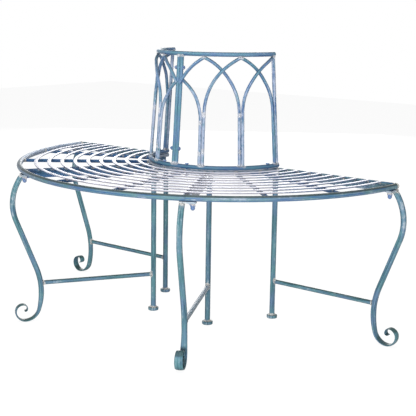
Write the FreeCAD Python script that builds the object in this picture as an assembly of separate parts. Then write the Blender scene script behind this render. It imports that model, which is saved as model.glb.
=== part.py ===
import FreeCAD, Part
import os
from math import acos, asin, atan, atan2, cos, degrees, hypot, pi, radians, sin

V = FreeCAD.Vector

# Half-round tree bench of painted wrought iron, in millimetres, +Z up.
# Everything is drawn round the upright axis of the half circle. A bearing of 0 degrees is
# the right end of the straight back edge, 90 is the middle of the front, 180 the left end.
# At bearing 0 the radius runs along +X and the seat lies on the -Y side.

# Clearances between separate pieces
fit_gap = 0.3
hole_clearance = 0.6
thread_clearance = 0.2

# The seat comes apart into three sections and the back into two panels
section_names = ("right", "front", "left")
leg_names = ("right", "front_right", "front_left", "left")
section_angle = 180.0 / len(section_names)
panel_angle = 180.0 / 2

# Seat
seat_top = 458.0
rim_radius = 606.0
rim_tube = 16.0
rim_wall = 1.6
rim_end_disc = 3.0
ring_radius = 214.0
inner_rim_rod = 13.0
slat_count = 9
slat_width = 11.0
slat_thickness = 4.0
slat_inner_space = 34.0
slat_outer_space = 48.0
spokes_per_section = 2
spoke_width = 5.0
spoke_height = 10.0
end_bar_height = 28.0
edge_bar_width = 5.0
joint_bar_width = 4.0
joint_bar_setback = 7.0

# Scroll legs
leg_rod = 16.0
end_leg_inset = 8.0
joint_leg_step = 8.0
leg_top_inset = 3.0
leg_overrun = 0.07
bulge_drop = 106.0
bulge_bend = 135.0
waist_inset = 47.0
waist_height = 88.0
waist_bend = 200.0
scroll_bends = (42.0, 28.0, 21.0, 13.0, 7.0)
blade_width = 24.0
blade_thickness = 6.0
tip_width = 20.0
tip_thickness = 3.2

# Straight legs, stretchers and feet
inner_leg_tube = 16.0
inner_leg_wall = 1.5
flange_length = 36.0
flange_width = 30.0
flange_thickness = 5.0
stretcher_rod = 13.0
stretcher_height = 114.0
cap_diameter = 32.0
cap_height = 10.0
cap_floor = 3.0
cap_edge = 2.5

# Plates and studs under the outer rim
plate_reach = 36.0
plate_width = 16.0
plate_thickness = 5.0
stud_rod = 8.0
stud_offset = 27.0
dome_nut_width = 13.0
dome_nut_skirt = 8.0
dome_width = 12.0
dome_height = 18.0

# Back
mullion_bearings = (35.7, 67.2)
back_height = 321.0
back_lean = 23.0
rail_rod = 13.0
post_diameter = 11.0
arch_rod = 9.8
arch_spring = 156.0
side_arch_spring = 131.0
side_arch_drop = 74.0
arch_crown_drop = 2.6
bolt_rod = 6.0
bolt_head_width = 10.0
bolt_head_height = 4.0
nut_height = 5.0
bolt_tail = 3.0
seat_bolt_angle = 12.0
upper_bolt_drop = 40.0
lower_bolt_height = 49.0

# Derived heights and radii
rim_height = seat_top - rim_tube / 2
inner_rim_height = seat_top - inner_rim_rod / 2
slat_bottom = seat_top - slat_thickness
bar_bottom = seat_top - end_bar_height
slat_first = ring_radius + slat_inner_space
slat_pitch = (rim_radius - slat_outer_space - slat_first) / (slat_count - 1)
bar_start = ring_radius + inner_rim_rod / 2 + fit_gap
bar_end = rim_radius - rim_tube / 2 - fit_gap
plate_top = rim_height - rim_tube / 2 - fit_gap
plate_bottom = plate_top - plate_thickness
leg_top = plate_bottom - fit_gap
rail_low = inner_rim_height + inner_rim_rod / 2 + fit_gap + rail_rod / 2
rail_high = rail_low + back_height
inner_leg_top = bar_bottom - flange_thickness
depth_front = rim_radius + rim_tube / 2
depth_back = max(cap_diameter, blade_width, tip_width) / 2 - end_leg_inset
to_middle = V(0, (depth_front - depth_back) / 2, 0)

# Where each pair of legs stands: name, bearing, step of both legs away from the straight
# edge, further step of the scroll leg and the side its rim stud is on, all counted towards
# higher bearings. At a joint of the seat the scroll leg stands wholly under one section and
# its plate and stud reach under the other.
leg_places = []
for number, name in enumerate(leg_names):
    is_first = number == 0
    is_last = number == len(leg_names) - 1
    inset = end_leg_inset * (is_first - is_last)
    step = 0.0 if is_first or is_last else joint_leg_step
    leg_places.append((name, number * section_angle, inset, step, 1 if is_first else -1))

# Bolts through the inner rim: near each straight end and in the middle of each cut bay
cut_bay_middle = (mullion_bearings[-1] + panel_angle) / 2
bolt_bearings = (seat_bolt_angle, cut_bay_middle,
                 2 * panel_angle - cut_bay_middle, 2 * panel_angle - seat_bolt_angle)
bolt_hole_size = bolt_rod + hole_clearance
joint_bolt_heights = (rail_low + lower_bolt_height, rail_high - upper_bolt_drop)


def back_radius(z):
    # radius of the leaning back at a height
    return ring_radius - back_lean * (z - rail_low) / (rail_high - rail_low)


def turn(shape, bearing):
    # carry a shape drawn at bearing 0 to its bearing round the axis
    moved = shape.copy()
    moved.rotate(V(0, 0, 0), V(0, 0, 1), -bearing)
    return moved


def point(radius, bearing, z, aside=0.0):
    # a point at a radius and bearing, moved aside towards higher bearings
    a = radians(bearing)
    return V(radius * cos(a) - aside * sin(a), -radius * sin(a) - aside * cos(a), z)


def block(r0, r1, t0, t1, z0, z1):
    # a box at bearing 0 between two radii, two side distances and two heights
    return Part.makeBox(r1 - r0, t1 - t0, z1 - z0, V(r0, -t1, z0))


def ring_piece(profile, first, last):
    # turn a profile standing in the XZ plane from one bearing to another
    start = turn(profile, first)
    return start.revolve(V(0, 0, 0), V(0, 0, 1), -(last - first))


def round_profile(radius, z, diameter, bore=0.0):
    outer = Part.Wire(Part.makeCircle(diameter / 2, V(radius, 0, z), V(0, 1, 0)))
    if bore <= 0:
        return Part.Face(outer)
    inner = Part.Wire(Part.makeCircle(bore / 2, V(radius, 0, z), V(0, 1, 0)))
    face = Part.Face(outer).cut(Part.Face(inner))
    return face.Faces[0]


def hexagon(width, height, base, axis):
    # a hexagonal prism across flats, standing on a point along an axis
    corner = width / 2 / cos(pi / 6)
    points = [V(corner * cos(k * pi / 3), corner * sin(k * pi / 3), 0) for k in range(7)]
    prism = Part.Face(Part.makePolygon(points)).extrude(V(0, 0, height))
    prism.Placement = FreeCAD.Placement(base, FreeCAD.Rotation(V(0, 0, 1), axis))
    return prism


def section_wedge(first, first_space, last, last_space):
    # the ground a seat section covers, kept clear of both its end planes
    far = rim_radius * 2
    middle = (first + last) / 2
    start = point(0, first, 0, first_space)
    end = point(0, last, 0, -last_space)
    along_start = point(1, first, 0)
    along_end = point(1, last, 0)
    gap = end - start
    reach = gap.cross(along_end).z / along_start.cross(along_end).z
    near = start + along_start * reach
    corners = [near, start + along_start * far, point(far, middle, 0), end + along_end * far, near]
    return Part.Face(Part.makePolygon(corners)).extrude(V(0, 0, seat_top * 2))


parts = {}


# Seat sections: rims, slats and spokes
rim_joint = degrees(fit_gap / rim_radius)
inner_joint = degrees(fit_gap / ring_radius)
stud_holes = []
for name, bearing, inset, step, side in leg_places:
    at = point(rim_radius, bearing, rim_height - rim_tube, inset + step + side * stud_offset)
    stud_holes.append(Part.makeCylinder((stud_rod + hole_clearance) / 2, rim_tube, at))
bolt_holes = []
for bearing in bolt_bearings:
    at = point(ring_radius, bearing, bar_bottom)
    bolt_holes.append(Part.makeCylinder(bolt_hole_size / 2, back_height, at))

for number, name in enumerate(section_names):
    first = number * section_angle
    last = first + section_angle
    at_start = number == 0
    at_end = number == len(section_names) - 1
    rim = ring_piece(round_profile(rim_radius, rim_height, rim_tube, rim_tube - 2 * rim_wall),
                     first + (0 if at_start else rim_joint), last - (0 if at_end else rim_joint))
    disc = degrees(rim_end_disc / rim_radius)
    if at_start:
        rim = rim.fuse(ring_piece(round_profile(rim_radius, rim_height, rim_tube), first, first + disc))
    if at_end:
        rim = rim.fuse(ring_piece(round_profile(rim_radius, rim_height, rim_tube), last - disc, last))
    for drill in stud_holes:
        rim = rim.cut(drill)
    parts["outer_rim_" + name] = rim.removeSplitter()

    inner = ring_piece(round_profile(ring_radius, inner_rim_height, inner_rim_rod),
                       first + (0 if at_start else inner_joint), last - (0 if at_end else inner_joint))
    for drill in bolt_holes:
        inner = inner.cut(drill)
    parts["inner_rim_" + name] = inner

    wedge = section_wedge(first, edge_bar_width if at_start else fit_gap,
                          last, edge_bar_width if at_end else fit_gap)
    slats = []
    for row in range(slat_count):
        radius = slat_first + row * slat_pitch
        outer = Part.makeCylinder(radius + slat_width / 2, slat_thickness, V(0, 0, slat_bottom))
        hollow = Part.makeCylinder(radius - slat_width / 2, slat_thickness, V(0, 0, slat_bottom))
        slats.append(outer.cut(hollow).common(wedge))
    parts["slats_" + name] = Part.makeCompound([s.Solids[0] for s in slats])

    spokes = []
    for step in range(spokes_per_section):
        bearing = first + section_angle * (step + 1) / (spokes_per_section + 1)
        bar = block(bar_start, bar_end, -spoke_width / 2, spoke_width / 2,
                    slat_bottom - spoke_height, slat_bottom)
        spokes.append(turn(bar, bearing))
    parts["spokes_" + name] = Part.makeCompound(spokes)

# Flat bars on edge: one closes each straight end, two meet at each joint of the seat
edge_bar_right = block(bar_start, bar_end, 0, edge_bar_width, bar_bottom, seat_top)
edge_bar_left = turn(block(bar_start, bar_end, -edge_bar_width, 0, bar_bottom, seat_top), 180)
for name, bearing in (("right", section_angle), ("left", 180.0 - section_angle)):
    pair = []
    for side in (-1, 1):
        t0 = side * joint_bar_setback
        t1 = side * (joint_bar_setback + joint_bar_width)
        bar = block(bar_start, bar_end, min(t0, t1), max(t0, t1), bar_bottom, slat_bottom)
        pair.append(turn(bar, bearing))
    parts["joint_bars_" + name] = Part.makeCompound(pair)


# Scroll legs, drawn as a chain of tangent bends in the plane of the radius
def leg_path():
    # stations of (radius, height, heading, kind) from the rim down to the tip of the scroll;
    # the heading is the angle turned outwards from straight down, and the path starts a
    # little above the plate, so that the leg can be cut off level under it
    bulge_z = seat_top - bulge_drop
    rise = asin((plate_top - bulge_z) / bulge_bend)
    bulge_r = rim_radius - leg_top_inset + bulge_bend * (1 - cos(rise))
    waist_r = rim_radius - waist_inset
    dx = waist_r + waist_bend - bulge_r + bulge_bend
    dz = bulge_z - waist_height
    slope = atan2(dz, dx) - acos((bulge_bend + waist_bend) / hypot(dx, dz))
    bottom = blade_thickness / 2
    first_bend = scroll_bends[0]
    leave = asin((waist_height - bottom - first_bend) / (waist_bend - first_bend))

    stations = []
    top_turn = rise + leg_overrun
    steps = 9
    for k in range(steps + 1):
        a = top_turn - (top_turn + slope) * k / steps
        stations.append((bulge_r - bulge_bend * (1 - cos(a)), bulge_z + bulge_bend * sin(a), a, "rod"))
    steps = 6
    for k in range(steps + 1):
        a = -slope + slope * k / steps
        r = waist_r + waist_bend * (1 - cos(a))
        stations.append((r, waist_height - waist_bend * sin(a), a, "rod"))
    steps = 3
    for k in range(1, steps + 1):
        a = leave * k / steps
        r = waist_r + waist_bend * (1 - cos(a))
        stations.append((r, waist_height - waist_bend * sin(a), a, "blade"))
    heading = leave
    for number, bend in enumerate(scroll_bends):
        target = (number + 1) * pi / 2
        if number == len(scroll_bends) - 1:
            target += radians(10)
        r0, z0 = stations[-1][:2]
        steps = 7 if number < 3 else 6
        for k in range(1, steps + 1):
            a = heading + (target - heading) * k / steps
            r = r0 + bend * (cos(heading) - cos(a))
            z = z0 - bend * (sin(a) - sin(heading))
            stations.append((r, z, a, "blade"))
        heading = target
    return stations


def leg_section_sizes(stations):
    # the rod is hammered from round to a flat blade that thins towards the tip
    lengths = [0.0]
    for a, b in zip(stations, stations[1:]):
        lengths.append(lengths[-1] + hypot(b[0] - a[0], b[1] - a[1]))
    start = max(l for l, s in zip(lengths, stations) if s[3] == "rod")
    flat = next(l for l, s in zip(lengths, stations) if s[2] >= pi / 2 - 0.001)
    sizes = []
    for length in lengths:
        if length <= start:
            sizes.append((leg_rod, leg_rod))
        elif length <= flat:
            f = (length - start) / (flat - start)
            f = f * f * (3 - 2 * f)
            sizes.append((leg_rod + (blade_width - leg_rod) * f,
                          leg_rod + (blade_thickness - leg_rod) * f))
        else:
            f = (length - flat) / (lengths[-1] - flat)
            sizes.append((blade_width + (tip_width - blade_width) * f,
                          blade_thickness + (tip_thickness - blade_thickness) * f))
    return sizes


def scroll_leg(grow=0.0):
    # loft an oval section along the leg at bearing 0; grow enlarges it for clearance cuts
    stations = leg_path()
    wires = []
    for (r, z, heading, kind), (width, thick) in zip(stations, leg_section_sizes(stations)):
        ellipse = Part.Ellipse(V(0, 0, 0), width / 2 + grow + 0.001, thick / 2 + grow).toShape()
        forward = V(sin(heading), 0, -cos(heading))
        across = V(0, -1, 0)
        up = forward.cross(across)
        frame = FreeCAD.Matrix(across.x, up.x, forward.x, r,
                               across.y, up.y, forward.y, 0,
                               across.z, up.z, forward.z, z,
                               0, 0, 0, 1)
        wires.append(Part.Wire(ellipse.transformGeometry(frame)))
    leg = Part.makeLoft(wires, True, False)
    above = Part.makeBox(rim_radius, rim_radius, seat_top,
                         V(rim_radius / 2, -rim_radius / 2, leg_top + grow))
    return leg.cut(above)


plain_leg = scroll_leg()
grown_leg = scroll_leg(fit_gap)


# Each scroll leg carries a plate on its top, held to the rim by a stud with a domed nut
def rim_plate(side):
    near = -leg_rod / 2
    t0, t1 = (near, plate_reach) if side > 0 else (-plate_reach, -near)
    plate = block(rim_radius - plate_width / 2, rim_radius + plate_width / 2, t0, t1,
                  plate_bottom, plate_top)
    hole = Part.makeCylinder((stud_rod + hole_clearance) / 2, plate_thickness * 3,
                             V(rim_radius, -side * stud_offset, plate_bottom - plate_thickness))
    return plate.cut(hole)


def domed_stud(side):
    at = V(rim_radius, -side * stud_offset, plate_bottom)
    radius = dome_width / 2
    straight = dome_height - radius
    skirt = hexagon(dome_nut_width, dome_nut_skirt, at, V(0, 0, -1))
    crown = Part.makeCylinder(radius, straight, at - V(0, 0, straight))
    dome = Part.makeSphere(radius, at - V(0, 0, straight))
    shank_top = rim_height - rim_tube / 2 + rim_wall + 1
    start = at - V(0, 0, dome_nut_skirt / 2)
    shank = Part.makeCylinder(stud_rod / 2, shank_top - start.z, start)
    return skirt.fuse([crown, dome, shank]).removeSplitter()


# Straight legs stand under the inner rim, each with a flange, a stretcher and a foot cap
def inner_leg():
    outer = Part.makeCylinder(inner_leg_tube / 2, inner_leg_top - cap_floor, V(ring_radius, 0, cap_floor))
    bore = Part.makeCylinder(inner_leg_tube / 2 - inner_leg_wall, inner_leg_top, V(ring_radius, 0, 0))
    return outer.cut(bore)


def leg_flange(inset):
    shift = 0.0
    if inset:
        shift = (flange_width / 2 - abs(inset)) * (1 if inset > 0 else -1)
    return block(ring_radius - inner_leg_tube / 2 - 2, ring_radius - inner_leg_tube / 2 - 2 + flange_length,
                 shift - flange_width / 2, shift + flange_width / 2, inner_leg_top, bar_bottom)


def stretcher():
    rod = Part.makeCylinder(stretcher_rod / 2, rim_radius - waist_inset - ring_radius,
                            V(ring_radius, 0, stretcher_height), V(1, 0, 0))
    inner_side = Part.makeCylinder(inner_leg_tube / 2 + fit_gap, seat_top, V(ring_radius, 0, 0))
    rod = rod.cut(inner_side).cut(grown_leg)
    return max(rod.Solids, key=lambda s: s.Volume)


def foot_cap():
    body = Part.makeCylinder(cap_diameter / 2, cap_height, V(ring_radius, 0, 0))
    body = body.makeFillet(cap_edge, [e for e in body.Edges if len(e.Vertexes) == 1])
    socket = Part.makeCylinder(inner_leg_tube / 2 + fit_gap, cap_height, V(ring_radius, 0, cap_floor))
    return body.cut(socket)


plates = []
studs = []
flanges = []
plain_inner_leg = inner_leg()
plain_stretcher = stretcher()
plain_cap = foot_cap()


def put(shape, bearing, inset):
    moved = shape.copy()
    moved.translate(V(0, -inset, 0))
    return turn(moved, bearing)


def swing(shape, step):
    # turn a shape at bearing 0 about its straight leg until its rim end has moved by the step
    moved = shape.copy()
    moved.rotate(V(ring_radius, 0, 0), V(0, 0, 1), -degrees(atan(step / (rim_radius - ring_radius))))
    return moved


cleared = []
for name, bearing, inset, step, side in leg_places:
    parts["scroll_leg_" + name] = put(swing(plain_leg, step), bearing, inset)
    parts["inner_leg_" + name] = put(plain_inner_leg, bearing, inset)
    parts["stretcher_" + name] = put(swing(plain_stretcher, step), bearing, inset)
    parts["foot_cap_" + name] = put(plain_cap, bearing, inset)
    plates.append(put(rim_plate(side), bearing, inset + step))
    studs.append(put(domed_stud(side), bearing, inset + step))
    flanges.append(put(leg_flange(inset), bearing, inset))
    cleared.append(put(swing(grown_leg, step), bearing, inset))
parts["edge_bar_right"] = edge_bar_right.cut(cleared[0])
parts["joint_bars_right"] = parts["joint_bars_right"].cut(cleared[1])
parts["joint_bars_left"] = parts["joint_bars_left"].cut(cleared[2])
parts["edge_bar_left"] = edge_bar_left.cut(cleared[3])
parts["rim_plates"] = Part.makeCompound(plates)
parts["leg_studs"] = Part.makeCompound(studs)
parts["leg_flanges"] = Part.makeCompound(flanges)


# Back panels
def tube_between(a, b, diameter):
    return Part.makeCylinder(diameter / 2, (b - a).Length, a, b - a)


def swept_rod(points, diameter):
    # a round rod through points given from its foot upwards
    curve = Part.BSplineCurve()
    curve.interpolate(points)
    path = Part.Wire([curve.toShape()])
    start = points[0]
    profile = Part.Wire(Part.makeCircle(diameter / 2, start, curve.tangent(curve.FirstParameter)[0]))
    return path.makePipeShell([profile], True, False)


def ease(f):
    # a smooth step from 0 to 1
    f = max(0.0, min(1.0, f))
    return f * f * (3 - 2 * f)


def arch_points(start, spring, end, top, aside, layer, stays_out=False):
    # an arch rod: up beside its mullion to the spring, then bent over to its end bearing;
    # half way over it stands off the middle of the back so that crossing rods pass each other
    points = []
    steps = 6
    for k in range(steps):
        z = rail_low + (spring - rail_low) * k / steps
        points.append(point(back_radius(z), start, z, aside))
    begin = start + degrees(atan(aside / back_radius(spring)))
    spread = hypot(back_radius(spring), aside) - back_radius(spring)
    span = radians(abs(end - begin)) * back_radius((spring + top) / 2)
    bend_turn = 2 * atan(span / (top - spring))
    steps = 12
    reach = 1.0 if stays_out else 1.06
    for k in range(steps + 1):
        a = bend_turn * reach * k / steps
        z = spring + (top - spring) * sin(a) / sin(bend_turn)
        share = (1 - cos(a)) / (1 - cos(bend_turn))
        bearing = begin + (end - begin) * share
        out = ease(share / 0.3)
        back_in = 1.0 if stays_out else ease((1 - share) / 0.3)
        radius = back_radius(z) + spread * (1 - out) + layer * out * back_in
        points.append(point(radius, bearing, z))
    return points


def side_arch_points(start, low, end, top, layer):
    # the upper half of the cut bay: a bend that leaves the joint post and runs a little past
    # the mullion, where it is cut off
    points = []
    span = radians(abs(end - start)) * back_radius((low + top) / 2)
    chord = hypot(span, top - low)
    lean = atan2(span, top - low)
    radius = 2 * chord
    half = asin(chord / 2 / radius)
    steps = 8
    past = 1.05
    for k in range(steps + 1):
        a = lean - half + 2 * past * half * k / steps
        share = radius * (cos(lean - half) - cos(a)) / span
        z = low + radius * (sin(a) - sin(lean - half))
        bearing = start + (end - start) * share
        points.append(point(back_radius(z) + layer * ease((1 - share) / 0.4), bearing, z))
    return points


def beyond(bearing, side):
    # everything past the middle plane of a mullion, on its higher or its lower side
    gap = fit_gap / 2
    span = (-gap, back_height) if side > 0 else (-back_height, gap)
    return turn(block(0, ring_radius * 2, span[0], span[1], rail_low, rail_high * 2), bearing)


def back_panel(name, mirrored):
    # one quarter of the back, drawn from bearing 0 to 90 and mirrored for the left side
    made = {}
    rail_edge = fit_gap / 2
    low_end = panel_angle - degrees(rail_edge / ring_radius)
    high_end = panel_angle - degrees(rail_edge / (ring_radius - back_lean))
    low = ring_piece(round_profile(ring_radius, rail_low, rail_rod), 0, low_end)
    high = ring_piece(round_profile(ring_radius - back_lean, rail_high, rail_rod), 0, high_end)
    fat = rail_rod + 2 * fit_gap
    low_clear = ring_piece(round_profile(ring_radius, rail_low, fat), -10, panel_angle + 10)
    high_clear = ring_piece(round_profile(ring_radius - back_lean, rail_high, fat), -10, panel_angle + 10)
    for bearing in bolt_bearings[:2]:
        drill = Part.makeCylinder(bolt_hole_size / 2, rail_rod * 2,
                                  point(ring_radius, bearing, rail_low - rail_rod))
        low = low.cut(drill)
    made["top_rail"] = high
    made["bottom_rail"] = low

    def keep(shape):
        return max(shape.Solids, key=lambda s: s.Volume)

    post_side = post_diameter / 2
    posts = {}
    for post, bearing, aside in (("end_post", 0.0, post_side),
                                 ("joint_post", panel_angle, -post_side - rail_edge)):
        foot = point(back_radius(rail_low), bearing, rail_low, aside)
        head = point(back_radius(rail_high), bearing, rail_high, aside)
        posts[post] = (foot, head)
        made[post] = keep(tube_between(foot, head, post_diameter).cut(low_clear).cut(high_clear))
    for z in joint_bolt_heights:
        at = point(back_radius(z), panel_angle, z, -post_diameter * 2)
        drill = Part.makeCylinder(bolt_hole_size / 2, post_diameter * 4, at, V(-1, 0, 0))
        made["joint_post"] = made["joint_post"].cut(drill)
    end_clear = tube_between(*posts["end_post"], post_diameter + 2 * fit_gap)
    joint_clear = tube_between(*posts["joint_post"], post_diameter + 2 * fit_gap)

    beside = arch_rod / 2 + fit_gap / 2
    beside_post = post_diameter + fit_gap + arch_rod / 2
    layer = arch_rod / 2 + fit_gap / 2
    spring = rail_low + arch_spring
    side_spring = rail_low + side_arch_spring
    side_meet = rail_high - side_arch_drop
    top = rail_high - rail_rod / 2 - arch_crown_drop
    first, second = mullion_bearings
    post_at = panel_angle - degrees(post_diameter / 2 / back_radius(side_meet))
    end_at = degrees(post_diameter / 2 / back_radius(rail_high))
    rods = {
        "arch_post": (arch_points(0, spring, first, top, beside_post, -layer), beyond(first, 1)),
        "arch_first_out": (arch_points(first, spring, end_at, top, -beside, layer), end_clear),
        "arch_first_in": (arch_points(first, spring, second, top, beside, -layer), beyond(second, 1)),
        "arch_second_out": (arch_points(second, spring, first, top, -beside, layer), beyond(first, -1)),
        "arch_second_in": (arch_points(second, side_spring, post_at, side_meet, beside, -layer, True),
                           joint_clear),
        "arch_joint": (side_arch_points(post_at, side_meet - arch_rod, second, top, layer),
                       beyond(second, -1).fuse(joint_clear)),
    }
    for rod, (points, end_cut) in rods.items():
        shape = swept_rod(points, arch_rod).cut(low_clear).cut(high_clear).cut(end_cut)
        made[rod] = keep(shape)
    for key, shape in made.items():
        if mirrored:
            shape = shape.mirror(V(0, 0, 0), V(1, 0, 0))
        parts[key + "_" + name] = shape


back_panel("right", False)
back_panel("left", True)


# Bolts and nuts: upright ones hold the panels to the inner rim, level ones join the panels
def bolt_and_nut(head_seat, nut_seat, shank):
    # head seat and nut seat are points; the shank runs from head to nut
    along = nut_seat - head_seat
    axis = V(along.x, along.y, along.z).normalize()
    head = hexagon(bolt_head_width, bolt_head_height, head_seat - axis * bolt_head_height, axis)
    length = bolt_head_height / 2 + along.Length + nut_height + bolt_tail
    rod = Part.makeCylinder(shank / 2, length, head_seat - axis * bolt_head_height / 2, axis)
    bolt = head.fuse(rod).removeSplitter()
    nut = hexagon(bolt_head_width, nut_height, nut_seat, axis)
    bore = (shank + thread_clearance) / 2
    nut = nut.cut(Part.makeCylinder(bore, nut_height * 3, nut_seat - axis * nut_height, axis))
    return bolt, nut


seat_bolts = []
seat_nuts = []
for bearing in bolt_bearings:
    bolt, nut = bolt_and_nut(point(ring_radius, bearing, rail_low + rail_rod / 2 + fit_gap),
                             point(ring_radius, bearing, seat_top - inner_rim_rod - fit_gap), bolt_rod)
    seat_bolts.append(bolt)
    seat_nuts.append(nut)
parts["seat_bolts"] = Part.makeCompound(seat_bolts)
parts["seat_nuts"] = Part.makeCompound(seat_nuts)

panel_bolts = []
panel_nuts = []
out = post_diameter + fit_gap / 2 + fit_gap
for z in joint_bolt_heights:
    bolt, nut = bolt_and_nut(V(out, -back_radius(z), z), V(-out, -back_radius(z), z), bolt_rod)
    panel_bolts.append(bolt)
    panel_nuts.append(nut)
parts["panel_bolts"] = Part.makeCompound(panel_bolts)
parts["panel_nuts"] = Part.makeCompound(panel_nuts)

os.makedirs("parts", exist_ok=True)
for name, shape in parts.items():
    shape = shape.copy()
    shape.translate(to_middle)
    shape.exportStep("parts/" + name + ".step")
print(len(parts), "nodes written")
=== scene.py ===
# %% [markdown]
# # A half-round tree bench of painted wrought iron
# The bench is bent from round iron rod, tube and flat bar, and welded into three seat sections
# and two back panels. It was painted with blue and teal enamel by brush and then rubbed back,
# so that it looks as if it had stood outside for years.
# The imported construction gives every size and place. This lesson dresses it: each piece is
# drawn again with the small unevenness of forged iron, its weld beads and its worn paint.

# %% Load the frame
from math import acos, asin, atan, atan2, ceil, cos, degrees, hypot, pi, radians, sin, tan

import bmesh
import bpy
from mathutils import Matrix, Vector
from mathutils.kdtree import KDTree


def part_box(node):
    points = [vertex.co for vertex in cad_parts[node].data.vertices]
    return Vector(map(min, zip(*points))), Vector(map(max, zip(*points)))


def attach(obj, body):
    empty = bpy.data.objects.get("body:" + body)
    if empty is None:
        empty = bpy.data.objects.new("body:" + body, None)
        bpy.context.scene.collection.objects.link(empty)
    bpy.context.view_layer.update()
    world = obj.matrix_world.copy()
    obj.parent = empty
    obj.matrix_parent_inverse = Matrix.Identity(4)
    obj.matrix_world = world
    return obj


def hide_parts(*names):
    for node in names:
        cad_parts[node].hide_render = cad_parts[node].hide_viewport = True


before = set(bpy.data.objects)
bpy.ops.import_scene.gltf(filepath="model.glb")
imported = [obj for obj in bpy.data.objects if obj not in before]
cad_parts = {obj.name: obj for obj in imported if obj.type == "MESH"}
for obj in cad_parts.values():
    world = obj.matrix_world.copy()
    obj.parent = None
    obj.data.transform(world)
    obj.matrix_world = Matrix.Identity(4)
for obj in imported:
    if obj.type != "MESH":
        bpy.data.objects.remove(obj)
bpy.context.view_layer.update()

scene = bpy.context.scene
mm = 0.001

# %% [markdown]
# ## Sizes
# Most sizes are read from the boxes of the construction's own pieces, so that the dressed
# bench can't drift away from it. The few that a box can't show are named in millimetres.
# Places are given as a smith would mark them out: a radius from the upright axis of the half
# circle, and a bearing, which is 0 degrees at the right end of the straight edge, 90 at the
# middle of the front and 180 at the left end.

# %% Sizes read from the construction
def height_of(node):
    low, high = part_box(node)
    return high.z - low.z


def middle_of(node):
    low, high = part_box(node)
    return (high.z + low.z) / 2


axis_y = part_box("edge_bar_right")[1].y
seat_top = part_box("slats_front")[1].z
bar_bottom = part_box("edge_bar_right")[0].z
rim_tube = height_of("outer_rim_front")
rim_height = middle_of("outer_rim_front")
rim_radius = axis_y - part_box("outer_rim_front")[0].y - rim_tube / 2
hoop_rod = height_of("inner_rim_front")
hoop_height = middle_of("inner_rim_front")
ring_radius = axis_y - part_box("inner_rim_front")[0].y - hoop_rod / 2
slat_thickness = height_of("slats_front")
slat_bottom = seat_top - slat_thickness
spoke_height = height_of("spokes_front")
rail_rod = height_of("bottom_rail_right")
rail_low = middle_of("bottom_rail_right")
rail_high = middle_of("top_rail_right")
top_radius = axis_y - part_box("top_rail_right")[0].y - rail_rod / 2
for name, value in (("seat height", seat_top), ("rim radius", rim_radius), ("tree radius", ring_radius)):
    print(name, round(value / mm), "mm")

# %% Bearings and places
# the space that the construction leaves between pieces that are then welded or bolted together
fit_gap = 0.3 * mm
section_angle = 60.0
panel_angle = 90.0
sections = {"right": 0.0, "front": section_angle, "left": 2 * section_angle}


def place(radius, bearing, z, aside=0.0):
    """The point at a radius and bearing, moved aside towards higher bearings."""
    a = radians(bearing)
    return Vector((radius * cos(a) - aside * sin(a), axis_y - radius * sin(a) - aside * cos(a), z))


def outwards(bearing):
    return place(1, bearing, 0) - place(0, bearing, 0)


def sideways(bearing):
    return place(0, bearing, 0, 1) - place(0, bearing, 0)


def back_radius(z):
    """The radius of the leaning back at a height."""
    return ring_radius + (top_radius - ring_radius) * (z - rail_low) / (rail_high - rail_low)


upwards = Vector((0, 0, 1))
print("the back leans in by", round((ring_radius - top_radius) / mm), "mm at its top rail")

# %% [markdown]
# ## Adding a node
# Surfaces and shapes are both built as trees of nodes. One small function adds a node, gives
# it its settings, and fills its inputs in order. Each tree then reads as a list of steps.

# %% The node function
def add(tree, kind, *inputs, out=0, **settings):
    """Adds a node and fills its inputs by values or links; None leaves one as it is."""
    node = tree.nodes.new(kind)
    for name, value in settings.items():
        setattr(node, name, value)
    for socket, value in zip([s for s in node.inputs if s.enabled], inputs):
        if isinstance(value, bpy.types.NodeSocket):
            tree.links.new(value, socket)
        elif value is not None:
            socket.default_value = value
    return [s for s in node.outputs if s.enabled][out]


# %% [markdown]
# ## Colours as a shader wants them
# A colour is picked on a screen as sRGB hex digits, but a shader adds up light and wants linear
# values. One function turns each colour of this lesson from the one into the other.

# %% From hex to linear
def linear(colour):
    """A six-digit sRGB hex colour as the linear values that a shader takes."""
    channels = [int(colour[k:k + 2], 16) / 255 for k in (0, 2, 4)]
    return (*[c / 12.92 if c <= 0.04045 else ((c + 0.055) / 1.055) ** 2.4 for c in channels], 1.0)


print("slate blue 697f97 is", [round(c, 3) for c in linear("697f97")[:3]], "in linear light")

# %% [markdown]
# ## Brushed and rubbed enamel
# The real finish is oil enamel on wrought iron, laid on by brush: slate blue first, then teal
# dragged over it in patches about as wide as a hand. Wire wool took it back to a pale lavender
# along the rods, and to a pale undercoat at the welds. To the eye it is chalky, with next to no
# mirror in it, because the wool scratched away what the brush had left smooth.
# A painted picture would have to be wrapped round every rod and would show its seam. Noise
# needs no wrapping. The patches read the place on the bench, and the streaks read two values
# that every rod carries: how far along it a point lies, and where round it.

# %% Patterns in the paint
patch_size = 60 * mm
daub_size = 13 * mm
# grit and bristle marks are about half a millimetre wide on the real bench, which is too fine
# to show in the picture, so they are drawn coarser
grain_size = 2.2 * mm
streak_width = 3.2 * mm
streak_length = 80 * mm


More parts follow.
